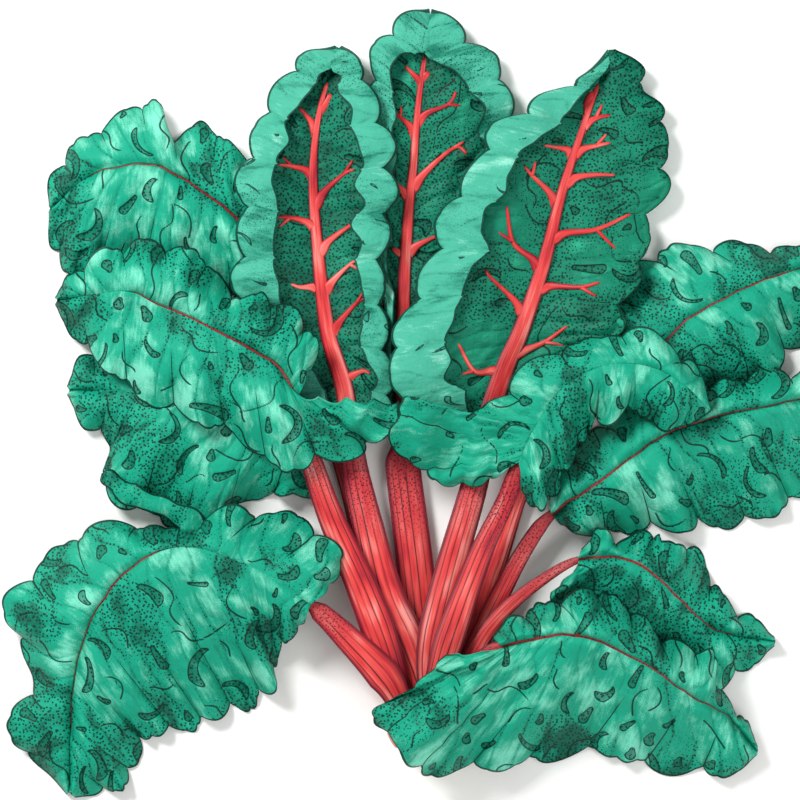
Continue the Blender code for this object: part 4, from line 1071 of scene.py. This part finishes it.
TALL_LEAVES = [
    {
        "name": "tall_middle",
        "stalk": [(19, -188, 6), (15, -155, 7), (9, -99, 8), (2, -43, 8)],
        "midrib": [(2, -25, 8), (2, 53, 9), (5, 112, 10), (8, 143, 10), (11, 180, 10),
                   (15, 211, 9), (19, 239, 6)],
        "left": [(-7, -16, 7), (-9, 50, 6), (-12, 93, 5), (-14, 136, 5), (-15, 174, 5),
                 (-17, 202, 6), (-11, 223, 6), (3, 239, 5), (19, 244, 4)],
        "right": [(12, -16, 7), (25, 50, 6), (43, 93, 5), (56, 130, 5), (65, 161, 5),
                  (69, 183, 5), (59, 211, 6), (40, 226, 6), (28, 239, 5), (19, 244, 4)],
        "widths": (15.0, 24.0, 22.0, 12.0, 3.0), "puff": 2.0,
        "band": ((6, 8, 12), (4, 8, 22)), "closes": 0.93,
        "veins": [((15, 174), (30, 184), (35, 192)), ((9, 133), (34, 157), (42, 153)),
                  ((9, 93), (23, 102), (26, 104)), ((9, 167), (0, 176), (-5, 181)),
                  ((6, 126), (-1, 133), (-5, 138)), ((5, 88), (-1, 92), (-5, 95)),
                  ((11, 197), (7, 204), (3, 208)), ((11, 197), (15, 201), (18, 204))],
        "forks": [((30, 184), (38, 183)), ((34, 157), (40, 161)), ((0, 176), (1, 183))],
    },
    {
        "name": "tall_left",
        "stalk": [(17, -188, 15), (6, -155, 16), (-9, -121, 17), (-21, -74, 16), (-28, -43, 14)],
        "midrib": [(-31, -19, 12), (-35, 9, 11), (-45, 43, 11), (-51, 93, 11), (-54, 140, 11),
                   (-50, 180, 11), (-38, 219, 7)],
        "left": [(-45, -20, 8), (-71, 9, 6), (-90, 43, 5), (-99, 81, 5), (-97, 124, 5),
                 (-93, 155, 5), (-81, 186, 6), (-62, 211, 6), (-40, 221, 4)],
        "right": [(-16, -24, 8), (-5, 0, 6), (-9, 43, 5), (-11, 87, 5), (-7, 124, 5),
                  (-9, 161, 5), (-19, 195, 6), (-28, 214, 6), (-37, 221, 4)],
        "widths": (15.0, 26.0, 16.0, 13.0, 3.0), "puff": 2.0, "shade": 0.6,
        "band": ((22, 16, 14), (8, 14, 12)), "closes": 0.97,
        "veins": [((-51, 124), (-35, 140), (-28, 143)), ((-48, 93), (-31, 108), (-25, 112)),
                  ((-45, 68), (-31, 84), (-25, 87)), ((-42, 40), (-27, 60), (-20, 64)),
                  ((-35, 11), (-23, 18), (-18, 16)), ((-54, 140), (-67, 145), (-76, 146)),
                  ((-57, 109), (-68, 113), (-78, 113)), ((-54, 68), (-62, 70), (-68, 72)),
                  ((-53, 169), (-59, 178), (-63, 182)), ((-51, 176), (-46, 184), (-43, 190))],
        "forks": [((-35, 140), (-29, 149)), ((-31, 108), (-24, 106)), ((-31, 84), (-24, 80)),
                  ((-27, 60), (-22, 68)), ((-67, 145), (-73, 151)), ((-68, 113), (-75, 107))],
    },
    {
        "name": "tall_right",
        "stalk": [(19, -188, 24), (20, -152, 25), (32, -102, 24), (46, -53, 20)],
        "midrib": [(55, -12, 15), (65, 19, 13), (76, 45, 12), (90, 87, 12), (100, 127, 12),
                   (114, 170, 12), (131, 218, 7)],
        "left": [(28, -22, 8), (0, 0, 6), (-5, 34, 5), (9, 62, 5), (24, 96, 5), (34, 126, 5),
                 (48, 149, 5), (59, 167, 6), (81, 181, 6), (99, 192, 6), (117, 203, 6),
                 (130, 219, 4)],
        "right": [(73, -3, 8), (102, 17, 6), (131, 43, 5), (138, 63, 5), (152, 90, 5),
                  (155, 113, 5), (165, 138, 5), (162, 160, 5), (165, 179, 6), (152, 191, 6),
                  (152, 203, 6), (144, 212, 6), (133, 219, 4)],
        "widths": (15.0, 21.0, 16.0, 14.0, 3.0), "puff": 2.0, "shade": 0.32,
        "band": ((34, 22, 18), (0, 0, 0)), "turns": (180.0, 80.0), "closes": 0.96,
        "veins": [((108, 154), (96, 157), (89, 158)), ((96, 124), (82, 139), (77, 145)),
                  ((84, 84), (70, 98), (66, 120)), ((65, 60), (56, 76), (53, 81)),
                  ((62, 20), (46, 18), (36, 35)), ((114, 172), (124, 176), (131, 177)),
                  ((108, 153), (122, 158), (131, 160)), ((100, 100), (122, 106), (144, 116)),
                  ((92, 68), (112, 70), (124, 73)), ((72, 24), (90, 36), (104, 46)),
                  ((104, 136), (122, 140), (134, 140)), ((116, 178), (117, 186), (121, 192))],
        "forks": [((70, 98), (61, 104)), ((46, 18), (38, 16)), ((122, 106), (134, 94)),
                  ((112, 70), (122, 64)), ((90, 36), (102, 34)), ((82, 139), (84, 148)),
                  ((122, 158), (129, 166)), ((122, 176), (126, 184))],
    },
]

# The upright leaves' face: a darker green with denser dots, painted shade for the hollow between
# the rolls.
dark_skin = blade_skin("shaded_face_skin", paint(40, 160, 124), paint(12, 122, 94),
                       paint(3, 84, 64), paint(1, 34, 26), strokes_by=0.5, dots=0.8)


def rolled_half(leaf, side, share, inner):
    """Half an upright blade: its face beside the midrib, the roll, and the margin's band."""
    outer = leaf.margins[side].at(share * leaf.margins[side].length)
    outer[-1] = inner[-1]
    out, wave, ruffle = (rows[:, None] for rows in leaf.margin_rows(share))
    level = (outer - inner) * (1, 1, 0)
    span = np.linalg.norm(level, axis=1)[:, None]
    away = level / np.maximum(span, 1.0)
    span = np.maximum(span + out * np.minimum(1, span / 12), 0)
    radius = np.minimum(ROLL_RADIUS, ROLL_SHARE * span)
    face = span - radius
    band = np.interp(share, (0, 0.5, 1), leaf.table["band"][side])[:, None]
    limit = math.radians(leaf.table.get("turns", (180.0, 180.0))[side])
    rolled = limit > math.pi / 2
    closed = rolled * smooth((share - leaf.table["closes"]) / CLOSING + 1)[:, None]
    stray = BAND_STRAY[0] * hills(share * leaf.margin_length, 0 * share, BAND_STRAY[1],
                                  leaf.seed + 60 + side)
    most = (BAND_SHARE + (1 - BAND_SHARE) * closed) * face + OVERLAP * closed
    back = band + BAND_OUT * np.maximum(out, -2) + stray[:, None] + CLOSED_BY * closed
    back = np.minimum(back, most) * rolled
    rise = (np.minimum(BAND_RISE, 0.2 * span)
            + BAND_WAVE * np.abs(wave) * np.minimum(1, span / 20) + side * closed)
    strip = np.hypot(back, rise)
    near, far = inner[:, None, 2], outer[:, None, 2]

    u = np.linspace(0, 1, columns_for(face))[None, :]
    turn = np.linspace(0, limit, ROLL_COLUMNS)[None, 1:]
    w = np.linspace(0, 1, max(4, columns_for(strip)))[None, 1:]
    distance = np.concatenate([u * face, face + radius * np.sin(turn),
                               face + radius * math.sin(limit) - w * back], 1)
    height = np.concatenate([near + (far - near) * u + leaf.puff * 4 * u * (1 - u),
                             far + radius * (1 - np.cos(turn)),
                             far + radius * (1 - math.cos(limit)) + rise * w], 1)
    run = np.concatenate([u * face, face + radius * turn, face + radius * limit + w * strip], 1)
    edge = face + radius * limit + strip - run
    on_face = (np.arange(distance.shape[1]) < u.shape[1])[None, :] + 0 * distance

    on_band = np.concatenate([0 * u, turn / math.pi, 0 * w + limit / math.pi], 1)
    v = np.clip(run / np.maximum(run[:, -1:], 1), 0, 1)
    size = np.minimum(1, span / NARROW)
    relief, x, y, furrow, fold = swell_between_veins(leaf, share, v, run[:, -1:] + 0 * v, side)
    relief = relief * (1 - 0.6 * on_band)
    pattern = np.stack([share[:, None] * leaf.blade_length + 0 * run, run], -1)
    spots = round(0.8 * leaf.blade_length * run[:, -1].mean() / BLISTER_PITCH ** 2)
    sink, blister = sink_blisters(leaf, pattern, v, run[:, -1:] + 0 * v, spots)
    blister, sink = blister + 2 * on_band, sink * (1 - 0.7 * on_band)
    edge = edge + FAR * closed
    over_ridge = run - face - radius * math.pi / 2
    # A painted shade line where the roll turns under.
    edge = np.where(rolled & (over_ridge > 0), np.minimum(edge, RIDGE_LINE * over_ridge), edge)
    swell = (relief - sink) * size * (1 - 2 * on_band)
    height = height + swell + 0.6 * ruffle * size * smooth(1 - edge / 9.0) * on_band
    height = rest_on_table(height)
    points = np.concatenate([inner[:, None, :2] + away[:, None, :2] * distance[..., None],
                             height[..., None]], 2)
    points[-1] = inner[-1]
    # Painted shade: its own level on the face, more in the furrows and beside the midrib.
    base = np.where(on_face, leaf.table.get("shade", FACE_SHADE), FACE_SHADE)
    shade = np.clip(base + 0.35 * hills(x, y, SHADE_SIZE, leaf.seed + 500) + 0.25 * furrow
                    + 0.25 * on_face * smooth(1 - run / 12), 0, 1)
    marks = {"place": grain_place(leaf, x, y), "edge": edge,
             "furrow": furrow * size, "blister": blister, "shade": shade,
             "fold": np.maximum(np.abs(fold), 9 * on_band)}
    return points, marks, u.shape[1]


def vein_tube(leaf, route, radii, surface, start, root=None):
    """A tapered vein that lies on the blade, from its root on the midrib or on another vein.
    A start is where it leaves off in the stem's own grain, and a root is the midrib's line, its
    half width there and the height to start from."""
    path = Route([(x, y, 0) for x, y in route])
    stations = np.linspace(0, path.length, max(5, round(path.length / VEIN_STEP)))
    centres = path.at(stations)
    radius = np.linspace(*radii, len(stations))
    radius[-1] *= VEIN_END
    wide = radius.copy()
    if root:
        midrib, half, root_height = root
        off = np.linalg.norm(centres[:, None, :2] - midrib[None, :, :2], axis=2).min(axis=1) - half
        wide += VEIN_FLARE * np.exp(-np.maximum(off, 0) / FLARE_LENGTH) * smooth(1 + off / half)
    for k, centre in enumerate(centres):
        nearest = np.argmin(np.hypot(*(surface[:, :2] - centre[:2]).T))
        centre[2] = surface[nearest, 2] + VEIN_LIFT[0] + VEIN_LIFT[1] * radius[k]
    centres[1:-1, 2] = (centres[:-2, 2] + 2 * centres[1:-1, 2] + centres[2:, 2]) / 4
    if root:
        settle = smooth(stations / (2 * VEIN_LEAN))
        centres[:, 2] = root_height * (1 - settle) + centres[:, 2] * settle
    left = sideways(path.heading(stations))
    angle = 2 * math.pi * (np.arange(VEIN_SIDES) + 0.25) / VEIN_SIDES
    points = (centres[:, None] + (wide[:, None] * np.cos(angle))[..., None] * left[:, None])
    points[..., 2] += VEIN_HEIGHT * radius[:, None] * np.sin(angle)
    # Painted shade on the vein's sides and underneath, lighter on its top.
    groove = smooth((0.75 - np.sin(angle)) / 1.1) + 0 * radius[:, None]
    level = 0 * points[..., 2]
    place = grain_place(leaf, GRAIN_ROUND / 4 + angle + level, start + stations[:, None] + level)
    return points, {"place": place, "groove": groove * VEIN_SIDE_SHADE, "line": 0 * groove - 1,
                    "under_blade_shadow": 0 * groove, "top": 0 * groove,
                    "flank_shade": smooth((np.abs(np.cos(angle)) - 0.8) / 0.2) + 0 * groove}


def raise_leaf(table):
    """Grow an upright leaf with its rolled margins and forked veins."""
    leaf = Leaf(table)
    stations, share = leaf.rows(0)
    width = leaf.stem_width(np.minimum(stations, leaf.rib_end))
    middle = leaf.middle.at(stations) + (0, 0, RIB_SEAT)
    ended = smooth((leaf.rib_end + 4 - stations) / 8)
    beside = sideways(leaf.middle.heading(stations)) * ((width / 2 - 0.6) * ended)[:, None]
    halves = [rolled_half(leaf, side, share, middle + beside * (1, -1)[side])
              for side in (0, 1)]
    stem, stem_marks = stem_rings(leaf)
    sheets = [points for points, _, _ in halves]
    lay(leaf, [stem, *sheets])
    face = np.vstack([points[:, :columns].reshape(-1, 3) for points, _, columns in halves])
    ribs, marks = [stem], [stem_marks]
    line = stem.mean(axis=1)
    for route in table["veins"]:
        nearest = np.argmin(np.hypot(*(line[:, :2] - route[0]).T))
        root = line[max(0, nearest - round(VEIN_LEAN / STEM_STEP))]
        leaves_at = ((1 - VEIN_SET_OFF) * line[nearest, :2]
                     + VEIN_SET_OFF * np.array(route[1]))
        half = leaf.stem_width(nearest * STEM_STEP) / 2
        radii = (min(VEIN_RADIUS[0], WIDEST_VEIN * half), VEIN_RADIUS[1])
        height = (root[2] - VEIN_ROOT + FLAT_TOP * stem_thickness(2 * half) / 2
                  - VEIN_HEIGHT * radii[0])
        tube, tube_marks = vein_tube(leaf, [root[:2], leaves_at, *route[1:]], radii, face,
                                     nearest * STEM_STEP, (line, half, height))
        ribs.append(tube)
        marks.append(tube_marks)
    for route in table["forks"]:
        nearest = np.argmin(np.hypot(*(line[:, :2] - route[0]).T))
        tube, tube_marks = vein_tube(leaf, route, FORK_RADIUS, face, nearest * STEM_STEP)
        ribs.append(tube)
        marks.append(tube_marks)
    grow_stem(leaf, ribs, marks)
    grow_blade(leaf, sheets, [marks for _, marks, _ in halves], dark_skin, "dark_blade")


for table in TALL_LEAVES:
    raise_leaf(table)


# The leaf that folds over in front of the right upright leaf.
# Its blade is closed over its midrib, which does not show, and falls forward to both sides.
FRONT_FOLD = {
    "name": "front_fold",
    "stalk": [(20, -188, 33), (29, -152, 34), (48, -99, 33), (65, -62, 34)],
    "midrib": [(73, -38, 37), (83, -16, 42), (98, 6, 46), (124, 21, 48), (152, 21, 44),
               (174, 9, 34), (190, -7, 16)],
    "left": [(51, -52, 28), (25, -50, 22), (5, -36, 22), (-3, -16, 24), (4, 1, 26),
             (25, -4, 30), (43, -12, 34), (61, 1, 36), (87, 25, 36), (118, 37, 35),
             (150, 40, 36), (180, 19, 26), (191, -5, 14)],
    "right": [(76, -60, 30), (87, -66, 26), (97, -57, 22), (101, -42, 20), (110, -30, 20),
              (119, -15, 22), (131, -9, 24), (145, -6, 24), (156, -15, 20), (169, -17, 16),
              (181, -12, 14), (191, -7, 12)],
    "widths": (15.0, 19.0, 10.5, 7.0, 2.0), "puff": 5.0, "shade": 0.08,
    "painted_light_and_shade": ((19, -24, 27, 0.22), (48, -34, 27, 0.2), (74, -12, 20, 0.25), (136, 27, 24, 0.2),
              (163, 17, 18, 0.25), (107, 14, 9, 0.8), (107, 2, 12, 0.8), (107, -13, 13, 0.8),
              (104, -30, 15, 0.8), (94, -50, 16, 0.8), (80, -56, 13, 0.8)),
    "fans": ([(0, 0), (0.18, 0.46), (1, 1)], []),
}
CLOSED_GAP = 3.5

hang_leaf(FRONT_FOLD, slit=(0.0, 0.0), under_gap=CLOSED_GAP, channel=0.8)


# The two big leaves at the bottom, which lie over all the stalks and over the crown.
# They are grown as the side leaves are, and are broader.
BOTTOM_LEAVES = [
    {
        "name": "bottom_left",
        "stalk": [(1, -188, 33), (-9, -171, 34), (-31, -148, 36)],
        "midrib": [(-55, -126, 40), (-90, -103, 46), (-127, -90, 50), (-155, -96, 48),
                   (-177, -115, 42), (-192, -140, 34), (-203, -180, 20), (-206, -243, 3)],
        "left": [(-60, -138, 28), (-72, -149, 20), (-79, -161, 14), (-79, -176, 9),
                 (-99, -189, 6), (-130, -202, 5), (-158, -211, 4), (-172, -237, 3),
                 (-188, -245, 3), (-203, -248, 2)],
        "right": [(-41, -113, 28), (-38, -94, 22), (-64, -76, 18), (-104, -71, 16),
                  (-136, -81, 16), (-179, -77, 12), (-217, -96, 8), (-241, -129, 5),
                  (-234, -158, 5), (-228, -175, 6), (-237, -195, 4), (-236, -218, 3),
                  (-218, -234, 2), (-207, -247, 2)],
        "widths": (15.0, 22.0, 12.5, 6.0, 2.0), "puff": 9.0, "shows": (0.32, 0.92),
        "shade": 0.42,
        "curl": [(-129, -86, 16), (-131, -75, 15), (-141, -69, 14), (-155, -63, 13),
                 (-167, -59, 12), (-176, -52, 11), (-185, -46, 10)],
        "curl_widths": (18.0, 16.0, 12.0, 11.0, 15.0, 10.0, 12.0),
        "painted_light_and_shade": ((-223, -138, 22, 0.75), (-212, -190, 18, 0.7), (-160, -126, 18, 0.65),
                  (-88, -118, 22, 0.15), (-170, -188, 18, 0.2), (-196, -95, 14, 0.2)),
    },
    {
        "name": "bottom_right",
        "stalk": [(36, -188, 33), (38, -175, 37), (46, -162, 44)],
        "midrib": [(62, -151, 52), (87, -145, 55), (112, -144, 53), (133, -153, 48),
                   (155, -164, 42), (180, -183, 30), (202, -195, 16), (222, -218, 3)],
        "left": [(57, -145, 42), (71, -135, 34), (92, -127, 26), (115, -117, 20),
                 (138, -127, 14), (162, -148, 9), (190, -158, 5), (198, -181, 4), (214, -200, 3),
                 (223, -216, 3)],
        "right": [(29, -156, 54), (9, -175, 54), (-16, -193, 49), (-1, -214, 42), (14, -229, 24),
                  (50, -226, 10), (87, -224, 3), (124, -219, 3), (155, -228, 3), (189, -231, 2),
                  (210, -229, 2), (223, -221, 3)],
        "widths": (13.0, 13.0, 9.0, 6.0, 2.0), "puff": 9.0,
        "fans": ([], [(0, 0), (0.06, 0.33), (0.40, 0.66), (1, 1)]),
        "painted_light_and_shade": ((60, -175, 36, 0.08), (125, -180, 34, 0.1), (10, -200, 16, 0.45),
                  (185, -195, 20, 0.2), (150, -140, 14, 0.6)),
    },
]

for table in BOTTOM_LEAVES:
    hang_leaf(table)


# The table, two soft lights and the camera.
# The table top is pale and matt. The camera stands high over the bunch and looks straight down,
# as the drawing shows it.
TABLE_SIDE = 6.0              # metres
PICTURE_WIDTH = 496.0
LEAF_LEVEL = 20.0
LENS = 200.0
SENSOR = 36.0

bpy.ops.mesh.primitive_plane_add(size=TABLE_SIDE)
table_top = bpy.context.object
table_top.name = "table_top"
skin, tree, shader = new_skin("table_paint", 0.8)
place = add(tree, "ShaderNodeTexCoord").outputs["Object"]
speckle = grain(tree, place, (60.0, 60.0, 60.0), 6.0)
tree.links.new(blend_paint(tree, speckle, paint(246, 246, 243), paint(252, 252, 250)),
               shader.inputs["Base Color"])
table_top.data.materials.append(skin)

sky = bpy.data.worlds.new("soft_room")
sky.use_nodes = True
sky.node_tree.nodes["Background"].inputs["Color"].default_value = (1.0, 1.0, 1.0, 1.0)
sky.node_tree.nodes["Background"].inputs["Strength"].default_value = 0.52
bpy.context.scene.world = sky
for name, place, side, power in (("window", (-1.0, 1.0, 1.5), 0.6, 42.0),
                                 ("lamp", (1.1, -0.9, 1.6), 1.2, 18.0)):
    light = bpy.data.lights.new(name, "AREA")
    light.size, light.energy = side, power
    lamp = bpy.data.objects.new(name, light)
    lamp.location = place
    lamp.rotation_euler = (-lamp.location).to_track_quat("-Z", "Y").to_euler()
    bpy.context.scene.collection.objects.link(lamp)

lens = bpy.data.cameras.new("camera")
lens.lens, lens.sensor_width = LENS, SENSOR
camera = bpy.data.objects.new("camera", lens)
camera.location = (plan_shift[0] * MM, plan_shift[1] * MM,
                   (PICTURE_WIDTH * LENS / SENSOR + LEAF_LEVEL) * MM)
bpy.context.scene.collection.objects.link(camera)
bpy.context.scene.camera = camera
bpy.context.scene.view_settings.view_transform = "Standard"

bpy.context.view_layer.update()
